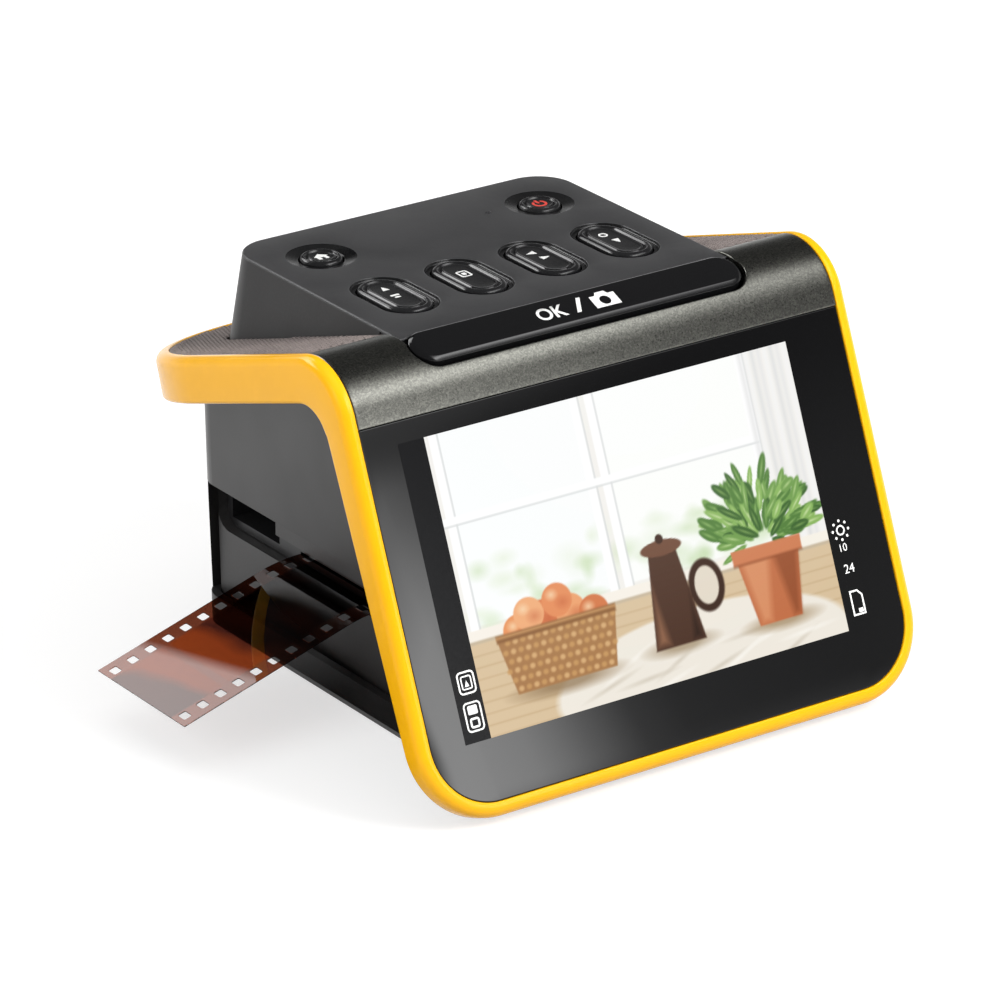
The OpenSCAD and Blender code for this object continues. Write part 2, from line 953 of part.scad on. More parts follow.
module usb_c_socket() {
    color([0.72, 0.72, 0.74])
    socket(usb_c_port, socket_depth, socket_wall);
}

module hdmi_socket() {
    color([0.72, 0.72, 0.74])
    socket(hdmi_port, socket_depth, socket_wall);
}

module sd_card_socket() {
    color([0.72, 0.72, 0.74])
    socket(sd_card_port, card_socket_depth, card_socket_wall);
}

// Side outline of the tunnel or the tray: a low part and a tall rear part, its lower rear
// corner round
module stepped(front, step, rear, low, mid, high, corner_r) {
    translate([front, low])
        square([rear - corner_r - front, mid - low]);
    translate([step, low])
        square([rear - corner_r - step, high - low]);
    translate([step, low + corner_r])
        square([rear - step, high - low - corner_r]);
    translate([rear - corner_r, low + corner_r])
        circle(corner_r);
}

module film_tunnel() {
    color([0.32, 0.32, 0.33])
    difference() {
        union() {
            across(tunnel_w - 2 * tunnel_end_thick)
                stepped(-passage_ahead - tunnel_wall, tall_from - tunnel_wall, tunnel_end_rear,
                        tunnel_under, roof_over, tunnel_over, tunnel_wall);
            for (side = sides)
                translate([side * io_post_x, io_post_y, tunnel_over])
                    cylinder(h = io_board_under - tunnel_over, r = main_post_r);
        }
        passage();
        translate([0, film_y, 0])
            linear_extrude(roof_over + slot_cut)
                square([gate_w, gate_h], center = true);
    }
}

// Passage that the tray slides in, from side to side
module passage() {
    across(2 * tunnel_w)
        stepped(-passage_ahead, tall_from, passage_rear,
                passage_low, passage_low + passage_h, passage_top, passage_corner_r);
}

module tunnel_ends() {
    color([0.32, 0.32, 0.33])
    difference() {
        intersection() {
            for (side = sides)
                translate([side * (tunnel_w - tunnel_end_thick) / 2, 0, 0])
                    across(tunnel_end_thick)
                        translate([-tunnel_end_ahead, tunnel_end_low])
                            square([tunnel_end_ahead + tunnel_end_rear,
                                    tunnel_end_high - tunnel_end_low]);
            case_plan(case_wall + seat_gap);
        }
        passage();
    }
}

module film_tray() {
    tray_low = passage_low + tray_gap;
    tray_mid = passage_low + passage_h - tray_gap;
    tray_high = passage_top - tray_gap;
    tray_front = tray_gap - passage_ahead;
    tray_step = tall_from + tray_gap;
    tray_rear = passage_rear - tray_gap;
    color([0.14, 0.14, 0.15])
    difference() {
        across(tray_l)
            stepped(tray_front, tray_step, tray_rear, tray_low, tray_mid, tray_high,
                    passage_corner_r - tray_gap);
        across(2 * tray_l)
            translate([film_y, film_z])
                square([film_w + 2 * channel_gap, channel_h], center = true);
        translate([0, film_y, 0])
            linear_extrude(passage_top)
                square([gate_w - 2, gate_h - 2], center = true);
        for (side = sides)
            translate([side * tray_l / 2 - pull_depth, tray_step + pull_wall, tray_low + pull_wall])
                cube([2 * pull_depth, tray_rear - tray_step - 2 * pull_wall, passage_top]);
    }
}

module film_strip() {
    color([0.45, 0.20, 0.10])
    difference() {
        translate([0, film_y + film_w / 2, film_z])
            rotate([90, 0, 0])
                linear_extrude(film_w)
                    film_side();
        film_perforations();
    }
}

// Slope of the film at a distance from its hanging end
function film_turn(along) =
    film_droop * min(1, max(0, (film_hanging + film_arc_l - along) / film_arc_l));

// Point [X, Z] on the film's middle surface at that distance, Z from the tray's film plane
function film_point(along) =
    along < film_hanging
        ? [film_flat_from - film_bend_run, -film_drop]
            - (film_hanging - along) * [cos(film_droop), sin(film_droop)]
        : [film_flat_from + max(0, along - film_hanging - film_arc_l), 0]
            - film_bend_r * [sin(film_turn(along)), 1 - cos(film_turn(along))];

// Point on the film's upper or lower face
function film_face(along, offset) =
    film_point(along) + offset * [-sin(film_turn(along)), cos(film_turn(along))];

// Side outline of the film: flat in the tray, one bend, then a straight hanging part
module film_side() {
    stops = concat([0], [for (i = [0:film_bend_steps])
        film_hanging + film_arc_l * i / film_bend_steps], [film_l]);
    last = len(stops) - 1;
    polygon(concat([for (stop = stops) film_face(stop, film_thick / 2)],
                   [for (i = [0:last]) film_face(stops[last - i], -film_thick / 2)]));
}

// Two rows of holes that follow the film from its hanging end to its flat end
module film_perforations() {
    for (row = sides, step = [0:film_pitches - 1]) {
        along = (step + 0.5) * perforation_pitch;
        place = film_point(along);
        translate([place[0], film_y + row * perforation_spread / 2, film_z + place[1]])
            rotate([0, -film_turn(along), 0])
                translate([0, 0, -perforation_cut])
                    linear_extrude(2 * perforation_cut)
                        round_rect(perforation_l, perforation_w, perforation_corner_r);
    }
}

module camera_bracket() {
    color([0.60, 0.61, 0.63])
    translate([0, film_y, 0])
        difference() {
            translate([0, 0, roof_over])
                linear_extrude(bracket_top - roof_over)
                    square(bracket_size, center = true);
            translate([0, 0, roof_over - slot_cut])
                linear_extrude(bracket_top - bracket_plate - roof_over + slot_cut)
                    square(bracket_size - [2 * bracket_wall, 2 * bracket_wall], center = true);
            cylinder(h = reach, r = lens_r + seat_gap);
        }
}

module camera_lens() {
    color([0.07, 0.07, 0.08])
    translate([0, film_y, 0])
        difference() {
            union() {
                translate([0, 0, lens_low])
                    cylinder(h = bracket_top + lens_flange_h - lens_low, r = lens_r);
                translate([0, 0, bracket_top])
                    cylinder(h = lens_flange_h, r = lens_flange_r);
            }
            translate([0, 0, lens_low - slot_cut])
                cylinder(h = lens_hood_depth + slot_cut, r = lens_r - lens_hood_wall);
        }
}

module sensor_board() {
    color([0.08, 0.30, 0.18])
    translate([0, film_y, bracket_top + lens_flange_h])
        linear_extrude(board_thick)
            square(sensor_size, center = true);
}

module light_box() {
    color([0.90, 0.90, 0.88])
    translate([0, film_y, 0])
        difference() {
            translate([0, 0, base_top])
                linear_extrude(tunnel_under - base_top)
                    square(light_box_size, center = true);
            translate([0, 0, base_top + light_box_wall])
                linear_extrude(reach)
                    square(light_box_size - 2 * (light_box_wall + diffuser_ledge) * [1, 1],
                           center = true);
            translate([0, 0, tunnel_under - diffuser_thick])
                linear_extrude(reach)
                    square(light_box_size - 2 * light_box_wall * [1, 1], center = true);
        }
}

module led_board() {
    color([0.92, 0.92, 0.90])
    translate([0, film_y, base_top + light_box_wall])
        linear_extrude(board_thick)
            square(light_box_size - 2 * (light_box_wall + diffuser_ledge + seat_gap) * [1, 1],
                   center = true);
}

module leds() {
    color([0.98, 0.93, 0.65])
    translate([0, film_y, base_top + light_box_wall + board_thick])
        for (column = [-1:1], row = [-1:1])
            translate([column * led_step[0], row * led_step[1], 0])
                linear_extrude(led_h)
                    square(led_size, center = true);
}

module diffuser() {
    color([0.96, 0.96, 0.96])
    translate([0, film_y, tunnel_under - diffuser_thick])
        linear_extrude(diffuser_thick)
            square(light_box_size - 2 * (light_box_wall + seat_gap) * [1, 1], center = true);
}

lower_case();
base_cover();
rubber_feet();
base_screws();
bent_cover();
rim_band();
deck_grip();
bend_bezel();
control_housing();
control_plate();
cover_glass();
screen_gasket();
lcd_panel();
flat_cable();
main_board();
main_board_screws();
key_board();
key_switches();
key_board_screws();
status_light();
ok_board();
ok_switches();
io_board();
usb_c_socket();
hdmi_socket();
sd_card_socket();
film_tunnel();
tunnel_ends();
camera_bracket();
camera_lens();
sensor_board();
light_box();
led_board();
leds();
diffuser();
film_tray();
film_strip();
oval_button(0);  // oval_button_1
oval_button(1);  // oval_button_2
oval_button(2);  // oval_button_3
oval_button(3);  // oval_button_4
round_button(-1);  // home_button
round_button(1);  // power_button
ok_bar();
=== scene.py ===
import math
from collections import namedtuple

import bmesh
import bpy
import numpy as np
from mathutils import Matrix, Quaternion, Vector
from mathutils.geometry import delaunay_2d_cdt


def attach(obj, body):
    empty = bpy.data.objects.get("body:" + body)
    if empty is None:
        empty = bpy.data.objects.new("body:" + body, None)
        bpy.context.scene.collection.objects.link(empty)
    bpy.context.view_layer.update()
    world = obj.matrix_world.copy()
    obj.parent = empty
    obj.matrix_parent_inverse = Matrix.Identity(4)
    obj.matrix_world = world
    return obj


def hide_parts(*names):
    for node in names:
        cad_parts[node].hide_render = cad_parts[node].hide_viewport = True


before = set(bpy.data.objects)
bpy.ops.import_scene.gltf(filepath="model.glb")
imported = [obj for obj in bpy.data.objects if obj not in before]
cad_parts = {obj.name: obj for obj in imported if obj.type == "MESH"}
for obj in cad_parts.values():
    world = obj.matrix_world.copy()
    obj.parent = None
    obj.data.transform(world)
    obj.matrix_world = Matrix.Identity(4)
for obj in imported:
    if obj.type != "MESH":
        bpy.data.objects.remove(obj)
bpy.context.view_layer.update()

# A desktop film negative scanner. A bent cover carries a tilted screen on its front leg and a
# raised control block on its deck. A narrow case stands below the deck, and a film tray
# slides through it. Lengths are millimetres until a mesh is made.
MM = 0.001

# ---------------------------------------------------------------- sizes shared with the CAD
# The cover's face leans back, its deck falls to the rear and a round bend joins the two.
# Distances s run along its side outline, from the screen's middle up, over and back.
FRONT_LEAN = math.radians(22.3)
DECK_SLOPE = math.radians(18.4)
SCREEN_MID = np.array([0.0, -50.0, 48.0])
ACROSS = np.array([1.0, 0.0, 0.0])
FRONT_UP = np.array([0.0, math.sin(FRONT_LEAN), math.cos(FRONT_LEAN)])
FRONT_OUT = np.array([0.0, -math.cos(FRONT_LEAN), math.sin(FRONT_LEAN)])
DECK_BACK = np.array([0.0, math.cos(DECK_SLOPE), -math.sin(DECK_SLOPE)])
DECK_OUT = np.array([0.0, math.sin(DECK_SLOPE), math.cos(DECK_SLOPE)])
CORNER_ABOVE = 53.75
BEND_R = 14.5
BEND_TURN = math.pi / 2 - FRONT_LEAN + DECK_SLOPE
BEND_REACH = BEND_R * math.tan(BEND_TURN / 2)
BEND_START = CORNER_ABOVE - BEND_REACH
BEND_END = BEND_START + BEND_R * BEND_TURN
OUTER_CORNER = SCREEN_MID + FRONT_UP * CORNER_ABOVE
BEND_MID = OUTER_CORNER - FRONT_UP * BEND_REACH - FRONT_OUT * BEND_R
HALF_W = 66.0
FOOT = -48.8
DECK_LENGTH = 105.5
TAIL = BEND_END + DECK_LENGTH - BEND_REACH
FOOT_R = 17.7
TAIL_R = 46.0
LEG_THICK_LOW = 5.3
LEG_THICK_HIGH = 8.2
DECK_THICK = 10.3
INNER_BEND_R = 9.0
RIM_W = 3.2

# screen glass, and the lacquered strip above it
GLASS_HALF_W = 62.7
GLASS_LOW = -45.5
GLASS_TOP = 37.0
GLASS_CORNER_R = 14.4
GLASS_DROP = 0.4
LACQUER_DROP = 0.15

# control block: a flat top plate on drafted walls, which run out in front, and the pad that
# starts behind the bend and surrounds them
BLOCK_TOP = 93.7
BLOCK_HALF_W = 43.1
BLOCK_FRONT = -21.9
BLOCK_REAR = 45.0
BLOCK_CORNER_R = 9.0
BLOCK_DRAFT = math.radians(8.6)
BLOCK_FAR_FRONT = -60.0
PLATE_THICK = 2.0
PLATE_EDGE = 0.5
PAD_START = 1.2

# keys on the plate: the width and length of each cap and of the well that it stands in
OVAL_PITCH = 19.4
OVAL_Y = 0.2
ROUND_Y = 28.6
Key = namedtuple("Key", "name body node middle cap well")
KEYS = [Key(f"key_cap_{i + 1}", f"button_{i + 1}", f"oval_button_{i + 1}",
            ((i - 1.5) * OVAL_PITCH, OVAL_Y), (11.0, 20.5), (14.0, 23.5)) for i in range(4)]
KEYS += [Key(f"{name}_cap", name, f"{name}_button", (side * 1.5 * OVAL_PITCH, ROUND_Y),
             (9.5, 9.5), (15.4, 15.4)) for name, side in (("home", -1), ("power", 1))]

# OK bar, half sunk in the bend
OK_TILT = math.radians(22.1)
OK_MID = BEND_MID + BEND_R * np.array([0.0, -math.sin(OK_TILT), math.cos(OK_TILT)])
OK_UP = np.array([0.0, math.cos(OK_TILT), math.sin(OK_TILT)])
OK_OUT = np.array([0.0, -math.sin(OK_TILT), math.cos(OK_TILT)])
OK_HALF_L = 42.8
OK_HALF_W = 4.8
OK_LIFT = 0.3
OK_SINK = 0.1
OK_OPENING_R = OK_HALF_W + 0.8
OK_END = OK_HALF_L - OK_HALF_W

# prints and the lit display lie on the faces below them by so much
PRINT_THICK = 0.06
PICTURE_LIFT = 0.05
SIGNS_LIFT = 0.09


def cover_frame(s):
    """Point on the cover's outer surface and its outward direction, s along its side outline."""
    if s <= BEND_START:
        return SCREEN_MID + FRONT_UP * s, FRONT_OUT
    if s >= BEND_END:
        return OUTER_CORNER + DECK_BACK * (BEND_REACH + s - BEND_END), DECK_OUT
    lean = (s - BEND_START) / BEND_R + FRONT_LEAN
    out = np.array([0.0, -math.cos(lean), math.sin(lean)])
    return BEND_MID + BEND_R * out, out


def cover_point(x, s, depth):
    """Point of the cover at x across, s along and a depth below its outer surface."""
    place, out = cover_frame(s)
    return place + ACROSS * x - out * depth


def line_depth(place, out, anchor, along):
    """Depth below place at which its normal meets the line through anchor in the side view."""
    def cross(a, b):
        return a[1] * b[2] - a[2] * b[1]
    return cross(anchor - place, along) / cross(-out, along)


def cover_depth(s):
    """Thickness of the cover, square to its outer surface, with its inner corner round."""
    taper = math.atan((LEG_THICK_HIGH - LEG_THICK_LOW) / (GLASS_TOP - FOOT))
    lean = FRONT_LEAN + taper
    inner_up = np.array([0.0, math.sin(lean), math.cos(lean)])
    inner_back = np.array([0.0, math.cos(lean), -math.sin(lean)])
    heel = SCREEN_MID + FRONT_UP * FOOT - FRONT_OUT * LEG_THICK_LOW
    under = OUTER_CORNER - DECK_OUT * DECK_THICK
    place, out = cover_frame(s)
    leg = line_depth(place, out, heel, inner_up) if s < BEND_END else 0.0
    deck = line_depth(place, out, under, DECK_BACK) if s > BEND_START else 0.0
    corner = heel + inner_up * line_depth(heel, -inner_up, under, DECK_BACK)
    reach = INNER_BEND_R * math.tan((math.pi / 2 - lean + DECK_SLOPE) / 2)
    depth = max(leg, deck)
    if np.linalg.norm(place - out * depth - corner) < reach:
        to_centre = corner - inner_up * reach + inner_back * INNER_BEND_R - place
        middle = -to_centre @ out
        depth = middle - math.sqrt(max(0.0, INNER_BEND_R ** 2 - to_centre @ to_centre + middle ** 2))
    return depth


# ---------------------------------------------------------------- outlines
def arc(centre, radius, start, turn, steps):
    """Points round a centre, both ends included, angles in degrees."""
    angles = np.radians(start + turn * np.linspace(0, 1, steps + 1))
    return np.column_stack([centre[0] + radius * np.cos(angles),
                            centre[1] + radius * np.sin(angles)])


def rounded_outline(half, low, high, low_r, high_r, steps=24):
    """Upright outline with two lower and two upper round corners, counter-clockwise."""
    corners = [((half - low_r, low + low_r), low_r, -90), ((half - high_r, high - high_r), high_r, 0),
               ((high_r - half, high - high_r), high_r, 90), ((low_r - half, low + low_r), low_r, 180)]
    return np.vstack([arc(centre, radius, start, 90, steps) for centre, radius, start in corners])


def oval_outline(width, length, steps=24):
    """Long oval along Y, or a circle where both are equal, counter-clockwise."""
    reach = (length - width) / 2
    return without_doubles(np.vstack([arc((0, reach), width / 2, 0, 180, steps),
                                      arc((0, -reach), width / 2, 180, 180, steps)]))


def without_doubles(loop):
    """The loop without points that repeat the one before."""
    gap = np.linalg.norm(loop - np.roll(loop, 1, axis=0), axis=1)
    return loop[gap > 1e-6]


def finer(loop, step):
    """The loop with its long sides cut into equal lengths of at most one step."""
    points = []
    for a, b in zip(loop, np.roll(loop, -1, axis=0)):
        count = max(1, math.ceil(np.linalg.norm(b - a) / step))
        points += [a + (b - a) * i / count for i in range(count)]
    return np.array(points)


def inward(loop):
    """Direction into the loop at each point, long enough to keep the sides parallel."""
    ahead = np.roll(loop, -1, axis=0) - loop
    behind = loop - np.roll(loop, 1, axis=0)
    normals = []
    for side in (behind, ahead):
        side = side / np.linalg.norm(side, axis=1)[:, None]
        normals.append(np.column_stack([-side[:, 1], side[:, 0]]))
    middle = normals[0] + normals[1]
    middle /= np.linalg.norm(middle, axis=1)[:, None]
    return middle / np.maximum(0.35, (middle * normals[0]).sum(axis=1))[:, None]


def inset(loop, distance):
    """The loop moved inward, or outward where the distance is negative."""
    return loop + inward(loop) * distance


def stepped(loop, profile):
    """Chain of loops from (distance inward, depth) pairs."""
    way = inward(loop)
    return [(loop + way * distance, depth) for distance, depth in profile]


def is_inside(points, loop):
    """Which of the points lie inside the loop."""
    x, y = points[:, 0][:, None], points[:, 1][:, None]
    x0, y0 = loop[:, 0], loop[:, 1]
    x1, y1 = np.roll(loop, -1, axis=0).T
    spans = (y0 > y) != (y1 > y)
    with np.errstate(divide="ignore", invalid="ignore"):
        meets = x0 + (y - y0) * (x1 - x0) / (y1 - y0)
    return (spans & (x < meets)).sum(axis=1) % 2 == 1


def grid_inside(outline, holes, step_x, step_y, margin):
    """Points of a grid that lie inside the outline and outside the holes, by a margin."""
    low, high = outline.min(axis=0), outline.max(axis=0)
    xs = np.arange(low[0] + step_x / 2, high[0], step_x)
    ys = np.arange(low[1] + step_y / 2, high[1], step_y)
    points = np.array(np.meshgrid(xs, ys)).reshape(2, -1).T
    keep = is_inside(points, inset(outline, margin))
    for hole in holes:
        keep &= ~is_inside(points, inset(hole, -margin))
    return points[keep]


def filled(outline, holes=(), extra=()):
    """Triangles over the outline less its holes, as indices into all those points in turn."""
    loops = [outline, *holes]
    points = np.vstack([*loops, extra]) if len(extra) else np.vstack(loops)
    edges = []
    start = 0
    for loop in loops:
        count = len(loop)
        edges += [(start + i, start + (i + 1) % count) for i in range(count)]
        start += count
    found = delaunay_2d_cdt([Vector(p) for p in points], edges, [], 0, 1e-7)
    origin = [source[0] for source in found[3]]
    faces = np.array([[origin[i] for i in face] for face in found[2]])
    middles = points[faces].mean(axis=1)
    keep = is_inside(middles, outline)
    for hole in holes:
        keep &= ~is_inside(middles, hole)
    return faces[keep]


# ---------------------------------------------------------------- meshes
class Shape:
    """Points in millimetres and the faces between them."""

    def __init__(self):
        self.points = []
        self.faces = []

    def ring(self, points):
        """Adds points and returns their numbers."""
        start = len(self.points)
        self.points += [tuple(p) for p in points]
        return list(range(start, len(self.points)))

    def band(self, near, far, closed=True):
        """Faces between two rows of points."""
        count = len(near)
        for i in range(count if closed else count - 1):
            j = (i + 1) % count
            self.faces.append((near[i], near[j], far[j], far[i]))

    def slab(self, chains, place, steps=None):
        """A plate. The first chain runs from the top face's edge round to the bottom face's,
        each other chain does the same along one opening. A chain is a list of (loop, depth).
        With steps, a grid of that pitch lets the faces follow a curved surface."""
        ends = []
        for chain in chains:
            rings = [self.ring([place(x, y, depth) for x, y in loop]) for loop, depth in chain]
            for near, far in zip(rings, rings[1:]):
                self.band(near, far)
            ends.append(((chain[0], rings[0]), (chain[-1], rings[-1])))
        for end in (0, 1):
            loops = [pair[end][0][0] for pair in ends]
            ids = [i for pair in ends for i in pair[end][1]]
            extra = grid_inside(loops[0], loops[1:], *steps, min(steps) / 2) if steps else ()
            depth = ends[0][end][0][1]
            ids += self.ring([place(x, y, depth) for x, y in extra])
            self.faces += [tuple(ids[i] for i in face)
                           for face in filled(loops[0], loops[1:], extra)]

    def piece(self, name, body="scanner_body", **details):
        """Makes the mesh and lets it ride on a body."""
        mesh = bpy.data.meshes.new(name)
        mesh.from_pydata([tuple(c * MM for c in p) for p in self.points], [], self.faces)
        return mesh_piece(mesh, name, body, **details)


def mesh_piece(mesh, name, body="scanner_body", slot=None, stands_for=(), sharp=32):
    """Merges a mesh's doubles, turns its faces outward and lets it ride on a body."""
    made = bmesh.new()
    made.from_mesh(mesh)
    bmesh.ops.remove_doubles(made, verts=made.verts, dist=1e-7)
    bmesh.ops.recalc_face_normals(made, faces=made.faces)
    made.to_mesh(mesh)
    made.free()
    mesh.shade_smooth()
    mesh.set_sharp_from_angle(angle=math.radians(sharp))
    piece = riding(name, mesh, body)
    if stands_for:
        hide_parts(*stands_for)
    if slot:
        mesh.materials.clear()
        mesh.materials.append(FINISHES[slot])
    return piece


def linked(name, data):
    """New object of some data, in the scene."""
    made = bpy.data.objects.new(name, data)
    bpy.context.scene.collection.objects.link(made)
    return made


def riding(name, mesh, body):
    """New piece that rides on a body."""
    piece = linked(name, mesh)
    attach(piece, body)
    return piece


def plain_mesh(holder):
    """The plain mesh that a helper object makes. The helper goes."""
    graph = bpy.context.evaluated_depsgraph_get()
    mesh = bpy.data.meshes.new_from_object(holder.evaluated_get(graph))
    bpy.data.objects.remove(holder)
    return mesh


def rounded_edge(loop, radius, thickness, steps=5):
    """Chain round a plate's edge: a quarter round from its top face, then straight down."""
    turns = np.linspace(0, math.pi / 2, steps + 1)
    return stepped(loop, [(radius * (1 - math.sin(t)), radius * (1 - math.cos(t)))
                          for t in turns] + [(0, thickness)])


# ---------------------------------------------------------------- materials
def levels(code):
    """The sRGB levels of a hex colour, from 0 to 1."""
    return np.array([int(code[i:i + 2], 16) / 255 for i in (0, 2, 4)])


def linear(colour):
    """Linear RGBA of a hex colour, or of an array of sRGB levels."""
    srgb = levels(colour) if isinstance(colour, str) else colour
    light = np.where(srgb <= 0.04045, srgb / 12.92, ((srgb + 0.055) / 1.055) ** 2.4)
    return np.concatenate([light, np.ones(light.shape[:-1] + (1,))], axis=-1)


def add(tree, kind, inputs=(), result=None, stops=(), **settings):
    """Adds a node with its settings. Inputs are a list in the node's order or go by name: a
    socket is linked, anything else is set. Stops are the positions and colours of a colour
    ramp. Returns the node, or the output that result names."""
    node = tree.nodes.new(kind)
    for key, value in settings.items():
        setattr(node, key, value)
    for key, value in inputs.items() if isinstance(inputs, dict) else enumerate(inputs):
        if isinstance(value, bpy.types.NodeSocket):
            tree.links.new(value, node.inputs[key])
        else:
            node.inputs[key].default_value = value
    for index, (position, colour) in enumerate(stops):
        elements = node.color_ramp.elements
        element = elements[index] if index < len(elements) else elements.new(position)
        element.position = position
        element.color = colour
    return node if result is None else node.outputs[result]


def material(name):
    """A new material. Returns it with its empty tree and the object coordinates that its
    patterns use."""
    made = bpy.data.materials.new(name)
    made.use_nodes = True
    tree = made.node_tree
    tree.nodes.clear()
    return made, tree, add(tree, "ShaderNodeTexCoord", result="Object")


def surfaced(made, **surface):
    """Ends a material with a Principled surface."""
    tree = made.node_tree
    shader = add(tree, "ShaderNodeBsdfPrincipled",
                 {key.replace("_", " "): value for key, value in surface.items()}, 0)
    add(tree, "ShaderNodeOutputMaterial", [shader], is_active_output=True)
    return made


def moulded(name, dark, light, rough, grain_mm, relief_mm, **surface):
    """Moulded plastic: a spark-eroded grain, a slow drift of tone over 14 mm and rubbed spots
    that shine a little more. The real grain is 0.05 to 0.1 mm wide, and is drawn wider so that
    it shows."""
    made, tree, place = material(name)
    drift = add(tree, "ShaderNodeTexNoise",
                {"Vector": place, "Scale": 1 / (14 * MM), "Detail": 3}, "Fac")
    fine = add(tree, "ShaderNodeTexNoise", {"Vector": place, "Scale": 1 / (grain_mm * MM)}, "Fac")
    tone = add(tree, "ShaderNodeMix", {"Factor": fine, "A": drift, "B": fine}, 0,
               data_type="FLOAT")
    colour = add(tree, "ShaderNodeValToRGB", [tone], 0,
                 stops=[(0.35, linear(dark)), (0.65, linear(light))])
    shine = add(tree, "ShaderNodeMapRange", [drift, 0.3, 0.7, rough - 0.05, rough + 0.05], 0)
    bump = add(tree, "ShaderNodeBump",
               {"Strength": 0.5, "Distance": relief_mm * MM, "Height": fine}, 0)
    return surfaced(made, Base_Color=colour, Roughness=shine, Normal=bump, **surface)


def metallic_lacquer():
    """Aluminium flakes about 0.1 mm wide, drawn 0.3 mm wide so that they show: they sparkle in
    grey under a satin coat."""
    made, tree, place = material("metallic_lacquer")
    flakes = add(tree, "ShaderNodeTexVoronoi", {"Vector": place, "Scale": 1 / (0.3 * MM)}, "Color")
    glints = add(tree, "ShaderNodeSeparateColor", [flakes], "Red")
    cloud = add(tree, "ShaderNodeTexNoise",
                {"Vector": place, "Scale": 1 / (0.45 * MM), "Detail": 3, "Roughness": 0.6}, "Fac")
    tone = add(tree, "ShaderNodeMix", {"Factor": 0.55, "A": glints, "B": cloud}, 0,
               data_type="FLOAT")
    colour = add(tree, "ShaderNodeValToRGB", [tone], 0,
                 stops=[(0.2, linear("5a5a56")), (0.5, linear("696964")), (0.85, linear("82827b"))])
    shine = add(tree, "ShaderNodeMapRange", [cloud, 0.3, 0.7, 0.26, 0.36], 0)
    bump = add(tree, "ShaderNodeBump",
               {"Strength": 0.25, "Distance": 0.01 * MM, "Height": glints}, 0)
    return surfaced(made, Metallic=1.0, Base_Color=colour, Roughness=shine, Normal=bump)


def polished(name, colour, smear_mm, clean, smeared, detail=3, **surface):
    """Polished or coated face in one colour, with faint smears that dull its shine."""
    made, tree, place = material(name)
    smears = add(tree, "ShaderNodeTexNoise",
                 {"Vector": place, "Scale": 1 / (smear_mm * MM), "Detail": detail}, "Fac")
    shine = add(tree, "ShaderNodeMapRange", [smears, 0.3, 0.7, clean, smeared], 0)
    return surfaced(made, Base_Color=linear(colour), Roughness=shine, **surface)


def drawn_metal(name, dark, light, rough):
    """Plated sheet metal, satin with drawing lines. They are drawn 0.25 mm apart, some ten times
    the real spacing, so that they show."""
    made, tree, place = material(name)
    along = add(tree, "ShaderNodeMapping", {"Vector": place, "Scale": (1, 0.08, 1)}, 0)
    lines = add(tree, "ShaderNodeTexNoise", {"Vector": along, "Scale": 1 / (0.25 * MM)}, "Fac")
    colour = add(tree, "ShaderNodeValToRGB", [lines], 0,
                 stops=[(0.3, linear(dark)), (0.7, linear(light))])
    shine = add(tree, "ShaderNodeMapRange", [lines, 0.3, 0.7, rough - 0.05, rough + 0.08], 0)
    return surfaced(made, Metallic=1.0, Base_Color=colour, Roughness=shine)


def solder_mask():
    """Green lacquer over a fibreglass board, with copper runs that show as lighter lines."""
    made, tree, place = material("solder_mask")
    runs = add(tree, "ShaderNodeTexVoronoi", {"Vector": place, "Scale": 1 / (2.6 * MM)},
               "Distance", distance="MANHATTAN", feature="F1")
    colour = add(tree, "ShaderNodeValToRGB", [runs], 0,
                 stops=[(0.42, linear("1d5b3a")), (0.5, linear("2d7a4e"))])
    shine = add(tree, "ShaderNodeMapRange", [runs, 0, 1, 0.3, 0.5], 0)
    return surfaced(made, IOR=1.5, Base_Color=colour, Roughness=shine)


def clouded(name, dark, light, cloud_mm, rough, glow=0.0):
    """Ink or opal plastic: two close tones in soft clouds. A glow lights it from within."""
    made, tree, place = material(name)
    cloud = add(tree, "ShaderNodeTexNoise", {"Vector": place, "Scale": 1 / (cloud_mm * MM)}, "Fac")
    colour = add(tree, "ShaderNodeValToRGB", [cloud], 0,
                 stops=[(0.3, linear(dark)), (0.7, linear(light))])
    lit = {"Emission_Color": colour, "Emission_Strength": glow} if glow else {}
    return surfaced(made, IOR=1.5, Base_Color=colour, Roughness=rough, **lit)


